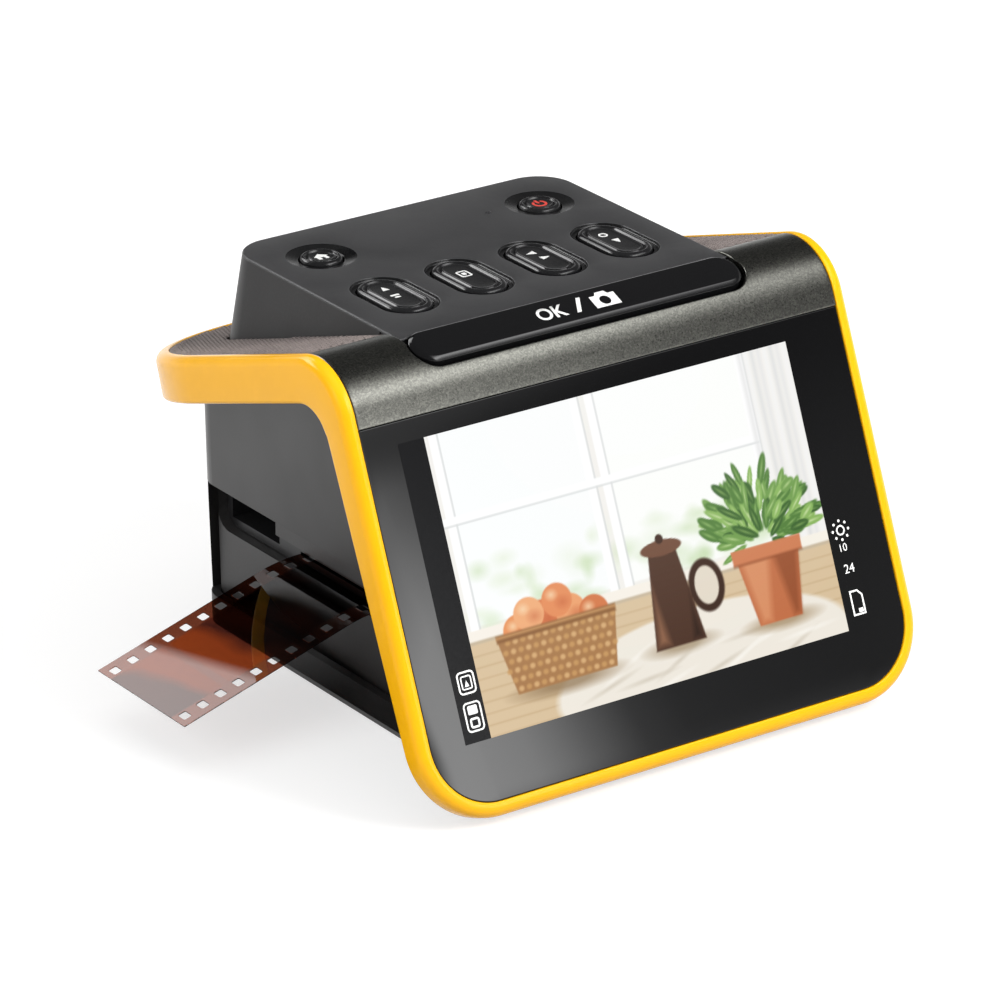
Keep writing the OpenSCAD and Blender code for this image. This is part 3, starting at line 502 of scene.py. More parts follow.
def acetate_film():
    """Developed colour negative on tinted acetate, which colours the light that passes it twice:
    amber where the picture is thin, nearly black where it is dense. It shines on both faces."""
    made, tree, place = material("acetate_film")
    # frames 36 mm long in a pitch of 38 mm, between the two margins with the holes
    middle_y, frame_pitch = 8.5 * MM, 38 * MM
    x, y, _ = add(tree, "ShaderNodeSeparateXYZ", [place]).outputs
    across = add(tree, "ShaderNodeMath", [y, middle_y], 0, operation="SUBTRACT")
    aside = add(tree, "ShaderNodeMath", [across], 0, operation="ABSOLUTE")
    in_frame = add(tree, "ShaderNodeMapRange", [aside, 11.8 * MM, 12.4 * MM, 1.0, 0.0], 0)
    along = add(tree, "ShaderNodeMath", [x, frame_pitch], 0, operation="FLOORED_MODULO")
    from_middle = add(tree, "ShaderNodeMath", [along, frame_pitch / 2], 0, operation="SUBTRACT")
    from_middle = add(tree, "ShaderNodeMath", [from_middle], 0, operation="ABSOLUTE")
    gap = add(tree, "ShaderNodeMapRange", [from_middle, 17.8 * MM, 18.4 * MM, 0.0, 0.75], 0)

    # their picture: uneven bands of density that lie askew across the strip and grow denser from the
    # film's tip towards the case
    waves = add(tree, "ShaderNodeTexNoise",
                {"Vector": place, "Scale": 1 / (26 * MM), "Detail": 1.5, "Roughness": 0.4}, "Fac")
    bowed = add(tree, "ShaderNodeMath", [across, 0.35, x], 0, operation="MULTIPLY_ADD")
    bowed = add(tree, "ShaderNodeMath", [waves, 22 * MM, bowed], 0, operation="MULTIPLY_ADD")
    dense = add(tree, "ShaderNodeMapRange", [bowed, -85 * MM, -5 * MM, 0.0, 1.0], 0)
    picture = add(tree, "ShaderNodeValToRGB", [dense], 0, stops=[
        (at, linear(code)) for at, code in (
            (0.0, "6b4d47"), (0.13, "64423a"), (0.17, "96451f"), (0.38, "8e3d1c"),
            (0.43, "45201a"), (0.48, "64291a"), (0.56, "1c0f0d"), (0.66, "150b0a"),
            (0.7, "3a1812"), (0.74, "150b0a"))])
    base = add(tree, "ShaderNodeValToRGB", [dense], 0, stops=[
        (at, linear(code)) for at, code in ((0.0, "9a6150"), (0.2, "8c4c35"), (0.5, "693524"))])
    framed = add(tree, "ShaderNodeMix", {"Factor": gap, "A": picture, "B": base}, 2,
                 data_type="RGBA")
    colour = add(tree, "ShaderNodeMix", {"Factor": in_frame, "A": base, "B": framed}, 2,
                 data_type="RGBA")
    return surfaced(made, Base_Color=colour, IOR=1.48, Roughness=0.015, Transmission_Weight=1.0)


def lit_display():
    """Lit display under an anti-glare coat: its own light and little gloss."""
    made, tree, _ = material("lit_display")
    picture = add(tree, "ShaderNodeAttribute", result="Color", attribute_name="picture")
    return surfaced(made, Base_Color=linear("050505"), Roughness=0.2, IOR=1.49,
                    Specular_IOR_Level=0.1, Emission_Color=picture, Emission_Strength=1.0)


# A moulded finish gives its dark and light tone, roughness, grain and relief in millimetres.
FINISHES = {
    # ABS from spark-eroded tools: an even satin grain on what the hand meets, matt below
    "case_plastic": moulded("eroded_abs_case", "1d1c1c", "232222", 0.34, 0.5, 0.01, IOR=1.53),
    "base_plastic": moulded("eroded_abs_base", "161617", "1e1e1f", 0.5, 0.5, 0.02, IOR=1.53),
    "cover_plastic": moulded("eroded_abs_cover", "19191a", "212122", 0.5, 0.5, 0.02, IOR=1.53),
    "tunnel_plastic": moulded("eroded_abs_tunnel", "2b2a2a", "343333", 0.4, 0.5, 0.01, IOR=1.53),
    "tray_plastic": moulded("eroded_abs_tray", "161617", "1e1e1f", 0.36, 0.5, 0.01, IOR=1.53),
    # the same with a drier face, which mirrors less
    "block_plastic": moulded("eroded_abs_block", "1e1d1d", "252424", 0.46, 0.5, 0.01, IOR=1.53,
                             Specular_IOR_Level=0.25),
    "plate_plastic": moulded("eroded_abs_plate", "2f2f30", "363637", 0.42, 0.5, 0.01, IOR=1.53,
                             Specular_IOR_Level=0.4),
    # ABS from polished tools: gloss with a slight ripple, clear yellow or deep black
    "rim_plastic": moulded("glossy_yellow_abs", "f3b10b", "f6b40e", 0.2, 2.5, 0.002, IOR=1.4,
                           Specular_IOR_Level=0.35),
    "button_plastic": moulded("polished_abs_button", "151516", "1b1b1c", 0.2, 1.5, 0.001, IOR=1.53),
    "ok_gloss": polished("polished_abs", "101011", 9, 0.09, 0.14, IOR=1.5),
    # acrylic with black printed on its back: a deep black under a mirror-like face
    "cover_glass": polished("printed_acrylic", "060607", 30, 0.035, 0.06, IOR=1.49),
    # smoked acrylic rod: dark and clear-faced
    "light_pipe": moulded("smoked_acrylic", "262628", "303032", 0.2, 1, 0.001, IOR=1.49),
    # lacquer with aluminium flakes over ABS
    "bezel_paint": metallic_lacquer(),
    # rubbers: the feet dull black, the pad a warm dusty grey
    "foot_rubber": moulded("silicone_rubber", "171717", "212121", 0.75, 0.5, 0.03, IOR=1.43),
    "grip_plastic": moulded("thermoplastic_rubber", "665d5b", "7f7571", 0.6, 0.5, 0.02, IOR=1.5),
    # open-cell foam: no shine, coarse pores
    "gasket_foam": moulded("cell_foam", "111111", "1c1c1c", 0.9, 0.3, 0.05),
    # sheet metals: blackened, nickel and zinc plating, each with its drawing lines
    "screw_steel": drawn_metal("blackened_steel", "3c3c3e", "4c4c4f", 0.35),
    "socket_steel": drawn_metal("nickel_plated_steel", "a9a9ab", "c2c2c4", 0.28),
    "bracket_metal": drawn_metal("zinc_plated_steel", "8f9194", "a5a7aa", 0.4),
    # inside: the display's coated back, amber polyimide, boards, nylon, styrene, lens barrel
    "display": moulded("display_module", "6b7684", "7c8898", 0.3, 3, 0.01),
    "cable_film": moulded("polyimide_film", "b8762a", "c98a3a", 0.25, 1, 0.01),
    "board": solder_mask(),
    "switch": moulded("switch_nylon", "37373b", "45454a", 0.5, 0.5, 0.02),
    "lens_plastic": moulded("lens_barrel", "151516", "1e1e20", 0.35, 0.5, 0.01),
    "white_plastic": moulded("white_styrene", "d6d5cf", "e4e3de", 0.5, 0.6, 0.02),
    # lamps: pale yellow phosphor and opal acrylic, which glow a little
    "led_phosphor": clouded("phosphor", "efe08c", "f7eaa2", 6, 0.4, glow=0.4),
    "diffuser": clouded("opal_acrylic", "e6e6e4", "f2f2f0", 6, 0.4, glow=0.2),
    # developed negative film
    "film_base": acetate_film(),
}
# the keys' wells, polished like the caps and darker: part gloss, part painted shade in the recesses
WELL_GLOSS_AND_SHADE = moulded("polished_abs_well", "0c0c0d", "121213", 0.24, 1.5, 0.001, IOR=1.53)
# screen-printed inks: opaque, a little uneven and glossier than what they are on
WHITE_INK = clouded("white_ink", "dededc", "ececea", 0.6, 0.35)
RED_INK = clouded("red_ink", "c8352c", "d8473c", 0.6, 0.35)
# the display's pixels, lit and dark, under one anti-glare coat
WHITE_PIXELS = clouded("lit_white_pixels", "c4c4c2", "d2d2d0", 6, 0.4, glow=0.7)
DARK_PIXELS = polished("dark_pixels", "08080a", 0.8, 0.2, 0.26, detail=2, IOR=1.49,
                       Specular_IOR_Level=0.1)
PICTURE = lit_display()


# ---------------------------------------------------------------- geometry node tools
def node_group(name, inputs):
    """A geometry node group with a geometry input and output and further named inputs.
    Returns it with the sockets of its inputs."""
    tree = bpy.data.node_groups.new(name, "GeometryNodeTree")
    for way in ("INPUT", "OUTPUT"):
        tree.interface.new_socket("Geometry", in_out=way, socket_type="NodeSocketGeometry")
    for label, kind in inputs:
        tree.interface.new_socket(label, in_out="INPUT", socket_type="NodeSocket" + kind)
    return tree, add(tree, "NodeGroupInput").outputs


def group_end(tree, geometry, finish):
    """Ends a group: plain geometry with its finish."""
    plain = add(tree, "GeometryNodeRealizeInstances", {"Geometry": geometry}, 0)
    made = add(tree, "GeometryNodeSetMaterial", {"Geometry": plain, "Material": finish}, 0)
    add(tree, "NodeGroupOutput", {"Geometry": made})


def grown(mesh, tree, values):
    """Runs a node group on a mesh and returns the plain mesh that it makes."""
    holder = linked(tree.name, mesh)
    modifier = holder.modifiers.new(tree.name, "NODES")
    modifier.node_group = tree
    for item in tree.interface.items_tree:
        if item.in_out == "INPUT" and item.name in values:
            modifier[item.identifier] = values[item.name]
    return plain_mesh(holder)


# ---------------------------------------------------------------- bent cover
def swept_band():
    """Node group that sweeps a section along a closed path. The path's points carry where the
    section stands: the way inward, the way out of the surface and the cover's thickness. The
    section's points carry their shares of the named sizes."""
    tree, given = node_group("swept_band", [
        ("Section", "Object"), ("Rim Width", "Float"), ("Top Radius", "Float"),
        ("Foot Radius", "Float"), ("Lip Radius", "Float"), ("Finish", "Material")])
    carried = {name: add(tree, "GeometryNodeInputNamedAttribute", {"Name": name}, "Attribute",
                         data_type="FLOAT" if name == "thickness" else "FLOAT_VECTOR")
               for name in ("shares", "aside", "depth", "thickness", "inward", "outward", "base")}

    section = add(tree, "GeometryNodeObjectInfo", {"Object": given["Section"]}, "Geometry")
    path, profile = (add(tree, "GeometryNodeMeshToCurve", {"Mesh": mesh}, 0)
                     for mesh in (given["Geometry"], section))
    swept = add(tree, "GeometryNodeCurveToMesh", {"Curve": path, "Profile Curve": profile}, 0)
    radii = add(tree, "ShaderNodeCombineXYZ",
                [given["Top Radius"], given["Foot Radius"], given["Lip Radius"]], 0)
    shares = add(tree, "ShaderNodeSeparateXYZ", [carried["shares"]]).outputs
    moves = []
    for name, share, whole in (("aside", shares[0], given["Rim Width"]),
                               ("depth", shares[1], carried["thickness"])):
        of_radii = add(tree, "ShaderNodeVectorMath", [carried[name], radii], "Value",
                       operation="DOT_PRODUCT")
        moves.append(add(tree, "ShaderNodeMath", [share, whole, of_radii], 0,
                         operation="MULTIPLY_ADD"))
    moves[1] = add(tree, "ShaderNodeMath", [moves[1], -1.0], 0, operation="MULTIPLY")
    place = carried["base"]
    for name, distance in zip(("inward", "outward"), moves):
        step = add(tree, "ShaderNodeVectorMath", {0: carried[name], "Scale": distance}, "Vector",
                   operation="SCALE")
        place = add(tree, "ShaderNodeVectorMath", [place, step], "Vector", operation="ADD")
    moved = add(tree, "GeometryNodeSetPosition", {"Geometry": swept, "Position": place}, 0)
    group_end(tree, moved, given["Finish"])
    return tree


def line_mesh(name, points, carried):
    """Mesh of a closed line through points in millimetres, with named values at its points."""
    count = len(points)
    mesh = bpy.data.meshes.new(name)
    edges = [(i, (i + 1) % count) for i in range(count)]
    mesh.from_pydata([tuple(np.array(p) * MM) for p in points], edges, [])
    for label, values in carried.items():
        values = np.array(values, dtype=float)
        kind = "FLOAT_VECTOR" if values.ndim == 2 else "FLOAT"
        layer = mesh.attributes.new(label, kind, "POINT")
        layer.data.foreach_set("vector" if values.ndim == 2 else "value", values.ravel())
    return mesh


def rim_section():
    """Section of the rim: a round shoulder outside, a small radius below and a lip at the
    lacquer. Each row holds shares of the three radii aside and in depth, then of the rim's
    width and of the cover's thickness."""
    rows = [((1 - math.sin(t), 0, 0), (1 - math.cos(t), 0, 0), (0, 0, 0))
            for t in np.linspace(0, math.pi / 2, 9)]
    rows += [((0, 1 - math.cos(t), 0), (0, math.sin(t) - 1, 0), (0, 1, 0))
             for t in np.linspace(0, math.pi / 2, 5)]
    rows += [((0, 0, 0), (0, 0, 0), (1, 1, 0))]
    rows += [((0, 0, math.cos(t) - 1), (0, 0, 1 - math.sin(t)), (1, 0, 0))
             for t in np.linspace(0, math.pi / 2, 4)]
    aside, depth, shares = zip(*rows)
    mesh = line_mesh("rim_section", [(i, 0, 0) for i in range(len(rows))],
                     {"aside": aside, "depth": depth, "shares": shares})
    return linked("rim_section", mesh)


def colour_rim():
    """Yellow band round the whole cover: a rounded section swept along the cover's outline."""
    outline = finer(without_doubles(rounded_outline(HALF_W, FOOT, TAIL, FOOT_R, TAIL_R, 30)), 3.0)
    points = []
    for a, b in zip(outline, np.roll(outline, -1, axis=0)):
        on_bend = min(a[1], b[1]) < BEND_END and max(a[1], b[1]) > BEND_START
        count = 5 if on_bend else 1
        points += [a + (b - a) * i / count for i in range(count)]
    outline = np.array(points)
    base, ways, outs, thickness = [], [], [], []
    for (x, s), (way_x, way_s) in zip(outline, inward(outline)):
        place, out = cover_frame(s)
        up = np.cross(ACROSS, out) * -1
        base.append(place + ACROSS * x)
        ways.append(ACROSS * way_x + up * way_s)
        outs.append(out)
        thickness.append(cover_depth(s) * MM)
    path = line_mesh("rim_path", base, {"base": np.array(base) * MM, "inward": ways,
                                        "outward": outs, "thickness": thickness})
    section = rim_section()
    mesh = grown(path, swept_band(), {
        "Section": section, "Rim Width": RIM_W * MM, "Top Radius": 2.3 * MM,
        "Foot Radius": 0.9 * MM, "Lip Radius": 0.3 * MM, "Finish": FINISHES["rim_plastic"]})
    bpy.data.objects.remove(section)
    mesh_piece(mesh, "colour_rim", slot="rim_plastic", stands_for=["rim_band"], sharp=40)


def cover_glass():
    """Flat black cover with its lower corners round and a fine polished edge."""
    outline = rounded_outline(GLASS_HALF_W, GLASS_LOW, GLASS_TOP, GLASS_CORNER_R, high_r=0.4)
    shape = Shape()
    shape.slab([rounded_edge(without_doubles(outline), radius=0.25, thickness=1.1)], over_glass(0))
    shape.piece("screen_lens", slot="cover_glass", stands_for=["cover_glass"])


def over_glass(lift):
    """Place at a height over the glass, with its depth counted down."""
    return lambda x, s, depth: cover_point(x, s, GLASS_DROP - lift + depth)


def ok_opening_side(x):
    """Half width of the OK bar's opening at x, measured up the bar."""
    return math.sqrt(max(0.0, OK_OPENING_R ** 2 - max(0.0, abs(x) - OK_END) ** 2))


def bar_to_cover(side):
    """Distance s along the cover for a distance up the OK bar's flat middle plane."""
    return BEND_START + BEND_R * (math.pi / 2 - OK_TILT - FRONT_LEAN + math.asin(side / BEND_R))


def bend_bezel():
    """Lacquered strip over the bend, cut out for the OK bar and the control block."""
    low, high = GLASS_TOP + 0.1, BEND_END - 0.02
    notch = BLOCK_HALF_W + 0.1
    start = math.degrees(math.acos((notch - OK_END) / OK_OPENING_R))
    right = [(OK_END + OK_OPENING_R * math.cos(t), bar_to_cover(OK_OPENING_R * math.sin(t)))
             for t in np.radians(np.linspace(start, -90, 30))]
    left = [(-x, s) for x, s in reversed(right)]
    outline = finer(np.array([
        (-GLASS_HALF_W, low), (GLASS_HALF_W, low), (GLASS_HALF_W, high), (notch, high),
        *right, *left, (-notch, high), (-GLASS_HALF_W, high)]), 1.2)
    shape = Shape()
    shape.slab([rounded_edge(outline, radius=0.3, thickness=1.35, steps=4)],
               lambda x, s, depth: cover_point(x, s, LACQUER_DROP + depth), steps=(1.6, 0.8))
    shape.piece("bend_lacquer", slot="bezel_paint", stands_for=["bend_bezel"])


def on_bar(sink):
    """Place below the OK bar's upper plane, with its depth counted down."""
    return lambda x, y, depth: (OK_MID + ACROSS * x + OK_UP * (y + OK_LIFT)
                                - OK_OUT * (sink + depth))


def ok_bar():
    """Glossy bar with half-round ends, a flat face and a bevel round it, on a flange."""
    outline = oval_outline(2 * OK_HALF_W, 2 * OK_HALF_L, 30)[:, ::-1] * np.array([1, -1])
    outline = finer(without_doubles(outline), 6)
    bevel = [(1.15, -0.02), (1.0, 0.0), (0.85, 0.05), (0.22, 0.52), (0.06, 0.68), (0, 0.9),
             (0, 3.4)]
    flange = np.array([(-44.4, -2.5), (44.4, -2.5), (44.4, 2.5), (-44.4, 2.5)])
    shape = Shape()
    for chain in (stepped(outline, bevel), [(flange, 2.6), (flange, 3.4)]):
        shape.slab([chain], on_bar(OK_SINK))
    shape.piece("ok_key", body="ok", slot="ok_gloss", stands_for=["ok_bar"], sharp=24)


# ---------------------------------------------------------------- control block
def block_front(x):
    """Front edge of the block's flat top where it meets the OK bar's opening."""
    side = ok_opening_side(x)
    height = (BLOCK_TOP - OK_MID[2] - side * OK_UP[2]) / OK_OUT[2]
    return OK_MID[1] + side * OK_UP[1] + height * OK_OUT[1]


def block_outline():
    """Outline of the block's top: round rear corners, its front edge along the OK bar."""
    rear = rounded_outline(BLOCK_HALF_W, BLOCK_FRONT, BLOCK_REAR, 0.5, BLOCK_CORNER_R)
    rear = rear[rear[:, 1] > -5]
    reach = 41.0
    front = [(x, block_front(x)) for x in np.linspace(-reach, reach, 83)]
    return without_doubles(np.vstack([
        [(-BLOCK_HALF_W, BLOCK_FRONT), (-reach - 0.2, BLOCK_FRONT)], front,
        [(reach + 0.2, BLOCK_FRONT), (BLOCK_HALF_W, BLOCK_FRONT)], rear]))


def on_plate(middle=(0, 0), sink=0.0):
    """Place round a middle on the block's top or sunk below it, with its depth counted down."""
    return lambda x, y, depth: (middle[0] + x, middle[1] + y, BLOCK_TOP - sink - depth)


def is_round(key):
    """Whether a key is round and not oval."""
    return key.cap[0] == key.cap[1]


def key_well(key):
    """Chain along a key's well down to the cap's hole: a rounded rim and a steep wall for an
    oval key, a shallow bowl for a round one."""
    if is_round(key):
        wall = [(-0.3, 0.0), (-0.12, 0.02), (0.05, 0.07), (0.5, 0.18), (1.4, 0.4), (2.3, 0.62)]
        hole = [(-0.1, 0.68), (0, 0.8), (0, PLATE_THICK)]
    else:
        wall = [(-0.45, 0.0), (-0.22, 0.04), (-0.06, 0.16), (0, 0.34), (0.08, 0.68), (0.2, 0.8)]
        hole = [(-0.1, 0.8), (0, 0.9), (0, PLATE_THICK)]
    clearance = 0.6
    return (stepped(oval_outline(*key.well) + key.middle, wall)
            + stepped(oval_outline(*(size + clearance for size in key.cap)) + key.middle, hole))


def control_plate():
    """Flat top of the block with its wells, its edges softly rounded."""
    edge = [(0.5, 0.0), (0.25, 0.06), (0.07, 0.22), (0, PLATE_EDGE), (0, PLATE_EDGE + 0.02),
            (0.3, 0.55), (0.3, PLATE_THICK)]
    light = oval_outline(1.3, 1.3, 12) + (16.3, 30.2)
    chains = [stepped(finer(block_outline(), 4), edge), *[key_well(key) for key in KEYS],
              stepped(light, [(-0.1, 0.0), (0, 0.1), (0, PLATE_THICK)])]
    shape = Shape()
    shape.slab(chains, on_plate())
    piece = shape.piece("control_top", slot="plate_plastic", stands_for=["control_plate"], sharp=40)
    piece.data.materials.append(WELL_GLOSS_AND_SHADE)
    # faces down in the wells take the darker gloss, which paints shade into the recesses
    wells = []
    for key in KEYS:
        wider, start = (0.4, 0.04) if is_round(key) else (0.2, 0.2)
        wells.append((oval_outline(*(size + wider for size in key.well)) + key.middle, start))
    for face in piece.data.polygons:
        middle = face.center / MM
        sunk = BLOCK_TOP - middle.z
        if sunk < PLATE_THICK and any(sunk > start and is_inside(np.array([middle[:2]]), well)[0]
                                      for well, start in wells):
            face.material_index = 1


def deck_height(y):
    """Height of the deck's surface."""
    return OUTER_CORNER[2] - (y - OUTER_CORNER[1]) * math.tan(DECK_SLOPE)


def wall_outline(steps=24):
    """Outline of the block's wall at its top, run on far in front."""
    return rounded_outline(BLOCK_HALF_W, BLOCK_FAR_FRONT, BLOCK_REAR, 0.5, BLOCK_CORNER_R, steps)


def wall_drop(height, way):
    """Fall of the drafted wall, which leans out one way, to a deck a height below its top."""
    return height / (1 - math.tan(DECK_SLOPE) * way[1] * math.tan(BLOCK_DRAFT))


def control_housing():
    """Drafted wall that carries the block's top: it runs round the rear and fades out in front."""
    outline = finer(without_doubles(wall_outline(30)), 3)
    # its open path, from the right front round the rear to the left front
    front = -16.05
    path = np.array([p for p in outline if p[1] > front])
    path = path[np.argsort([math.atan2(p[1] - front + 0.15, p[0]) for p in path])]
    ways = -inward(outline)[[np.argmin(np.linalg.norm(outline - p, axis=1)) for p in path]]
    top = BLOCK_TOP - PLATE_EDGE
    wall, into_deck, least = 1.9, 1.4, 0.3
    draft = math.tan(BLOCK_DRAFT)
    shape = Shape()
    rows = []
    for point, way in zip(path, ways):
        base = deck_height(point[1]) - into_deck
        drop = max(least, wall_drop(top - base, way))
        heights = np.linspace(0, 1, 7) * drop
        outer = [(*(point + way * h * draft), top - h) for h in heights]
        inner = [(*(point + way * (h * draft - wall)), top - h) for h in heights[::-1]]
        rows.append(shape.ring(outer + inner))
    for near, far in zip(rows, rows[1:]):
        shape.band(near, far)
    shape.faces += [tuple(rows[0]), tuple(rows[-1])]
    shape.piece("control_wall", slot="block_plastic", stands_for=["control_housing"], sharp=40)


def key_cap(key):
    """Cap with a raised ring, a groove and a raised middle, its flange and stem below."""
    share = 0.8 if is_round(key) else 1.0
    profile = [(3.0, 0.12), (2.75, 0.1), (2.55, 0.0), (2.38, -0.02), (2.25, 0.06), (2.15, 0.26),
               (2.0, 0.36), (1.6, 0.36), (1.45, 0.26), (1.32, -0.06), (1.2, -0.17), (1.0, -0.2),
               (0.75, -0.17), (0.4, 0.0), (0.15, 0.25), (0.03, 0.55), (0, 0.9), (0, 2.5)]
    cap = [(oval_outline(*(size - 2 * trim * share for size in key.cap)), depth)
           for trim, depth in profile]
    flange = oval_outline(*(size + 1.6 for size in key.cap))
    stem = oval_outline(3.6, 3.6)
    shape = Shape()
    for chain in (cap + [(flange, 2.5), (flange, 3.5)], [(stem, 3.4), (stem, 4.4)]):
        shape.slab([chain], on_plate(key.middle))
    shape.piece(key.name, key.body, slot="button_plastic", stands_for=[key.node], sharp=50)


# ---------------------------------------------------------------- markings
def mark(name, outlines, place, ink, body="scanner_body", thickness=PRINT_THICK):
    """Flat printed marking from (outline, holes) pairs."""
    shape = Shape()
    for outline, holes in outlines:
        loops = [np.array(outline), *[np.array(hole) for hole in holes]]
        shape.slab([[(loop, 0.0), (loop, thickness)] for loop in loops], place)
    shape.piece(name, body, sharp=30).data.materials.append(ink)


def printed_text(name, text, height, start, place, ink, body="scanner_body", bold=0.0,
                 thickness=PRINT_THICK):
    """Lettering as a thin printed layer that starts at a place."""
    curve = bpy.data.curves.new(name, "FONT")
    curve.body = text
    curve.size = height / 0.7
    curve.resolution_u = 6
    curve.offset = bold
    mesh = plain_mesh(linked(name + "_curve", curve))
    made = bmesh.new()
    made.from_mesh(mesh)
    bmesh.ops.remove_doubles(made, verts=made.verts, dist=1e-4)
    flat = bmesh.ops.extrude_face_region(made, geom=made.faces[:])
    for vert in [v for v in flat["geom"] if isinstance(v, bmesh.types.BMVert)]:
        vert.co.z -= thickness
    # the extrusion makes its walls in a new order each time, so all faces are put in order
    # along a line on which no two of them share a place
    line = Vector((1.0, 7.3, 31.7))
    made.faces.sort(key=lambda face: face.calc_center_median().dot(line))
    for vert in made.verts:
        vert.co = Vector(place(vert.co.x + start[0], vert.co.y + start[1], -vert.co.z)) * MM
    bmesh.ops.recalc_face_normals(made, faces=made.faces)
    made.to_mesh(mesh)
    made.free()
    riding(name, mesh, body)
    mesh.materials.clear()
    mesh.materials.append(ink)


def camera_icon(cx, cy):
    """Camera body with its finder and a round opening for the lens."""
    body = [(cx - 3.2, cy - 2.1), (cx + 3.2, cy - 2.1), (cx + 3.2, cy + 1.6), (cx + 1.7, cy + 1.6),
            (cx + 1.1, cy + 2.5), (cx - 1.1, cy + 2.5), (cx - 1.7, cy + 1.6), (cx - 3.2, cy + 1.6)]
    return np.array(body), [oval_outline(2.7, 2.7, 12) + (cx, cy - 0.2)]


def box_loop(cx, cy, width, height, radius):
    """Upright rectangle with round corners."""
    loop = rounded_outline(width / 2, -height / 2, height / 2, radius, radius, 5)
    return without_doubles(loop) + (cx, cy)


def ring_mark(loop, line):
    """The line along a loop, as a marking."""
    return loop, [inset(loop, line)]


def triangle(cx, cy, size, turn):
    """Arrow head that points to one side."""
    corners = [(math.cos(math.radians(turn + a)), math.sin(math.radians(turn + a)))
               for a in (0, 135, 225)]
    return np.array(corners) * size + (cx, cy), []


def key_icons():
    """What is printed on the four keys, in each key's own place: forward and back, gallery,
    mirror and turn."""
    gallery = [ring_mark(box_loop(0, 2.0, 2.8, 3.4, 0.6), 0.4), (box_loop(0, 2.0, 1.0, 1.2, 0.2), [])]
    return [
        [triangle(0.1, 4.2, 1.2, 90), (box_loop(0, 0.0, 2.2, 0.7, 0.2), []),
         (box_loop(0, -1.2, 1.4, 0.6, 0.2), [])],
        gallery,
        [triangle(-0.3, 3.9, 1.3, 180), triangle(0.7, 0.2, 1.3, 0)],
        [ring_mark(oval_outline(2.2, 2.2, 10) + (-0.3, 4.0), 0.45), triangle(0.4, -0.3, 1.3, 270)],
    ]


def house_icon():
    """Roof and walls of a small house with its door left open."""
    house = [(-1.3, -1.4), (-0.45, -1.4), (-0.45, -0.3), (0.45, -0.3), (0.45, -1.4), (1.3, -1.4),
             (1.3, 0.2), (1.75, 0.2), (0, 1.7), (-1.75, 0.2), (-1.3, 0.2)]
    return [(np.array(house), [])]


def power_icon():
    """Open ring with a stroke in its gap."""
    turns = np.radians(np.linspace(125, 415, 30))
    outer = np.column_stack([np.cos(turns), np.sin(turns)])
    ring = np.vstack([outer * 1.75, outer[::-1] * 1.15])
    return [(ring, []), (box_loop(0, 1.2, 0.6, 1.9, 0.2), [])]


def markings():
    """Printed signs on the keys and the bar. The places of names and signs of makers stay bare."""
    on_face = on_bar(0.04)
    printed_text("ok_letters", "OK", 3.45, (-10.9, -1.75), on_face, WHITE_INK, "ok", bold=0.09)
    slash = [(-1.4, -1.9), (-0.35, -1.9), (1.75, 2.2), (0.7, 2.2)]
    mark("ok_symbols", [(slash, []), camera_icon(6.9, -0.1)], on_face, WHITE_INK, "ok")
    for key, icon in zip(KEYS, [*key_icons(), house_icon(), power_icon()]):
        mark(key.name.replace("cap", "icon"), icon, on_plate(key.middle, sink=0.07),
             RED_INK if key.body == "power" else WHITE_INK, key.body)


# ---------------------------------------------------------------- display picture
class Painting:
    """Colours over the unit square, laid on in soft-edged shapes. u runs across, v up."""
    WIDTH = 1.47  # of the square on the display, where its height is 1

    def __init__(self, u, v, ground):
        self.u, self.v = u, v
        self.colour = np.tile(levels(ground), (len(u), 1))

    def lay(self, mask, code, strength):
        """Mixes a colour in by a mask."""
        amount = mask[:, None] * strength
        self.colour = self.colour * (1 - amount) + levels(code) * amount
        return mask

    def box(self, x0, x1, y0, y1, code, lean=0.0, soft=0.005, strength=1.0):
        """Upright box whose sides lean outward with height. Returns where it lies."""
        grow = lean * (self.v - y0)
        aside = np.minimum(self.u - x0 + grow, x1 + grow - self.u) * self.WIDTH
        inside = np.minimum(aside, np.minimum(self.v - y0, y1 - self.v))
        return self.lay(np.clip(inside / soft + 0.5, 0, 1), code, strength)

    def ball(self, cx, cy, rx, ry, code, soft=0.06, tilt=0.0, strength=1.0):
        """Oval about a centre."""
        dx, dy = (self.u - cx) * self.WIDTH, self.v - cy
        across = dx * math.cos(tilt) + dy * math.sin(tilt)
        up = dy * math.cos(tilt) - dx * math.sin(tilt)
        self.lay(np.clip((1 - np.hypot(across / rx, up / ry)) / soft, 0, 1), code, strength)

    def leaf(self, x, y, turn, length, width, dark, light):
        """Leaf that starts at a place, with a lighter rib."""
        cx = x + math.cos(turn) * length * 0.5 / self.WIDTH
        cy = y + math.sin(turn) * length * 0.5
        self.ball(cx, cy, length * 0.5, width, dark, 0.2, turn)
        self.ball(cx, cy, length * 0.42, width * 0.35, light, 0.9, turn, 0.8)


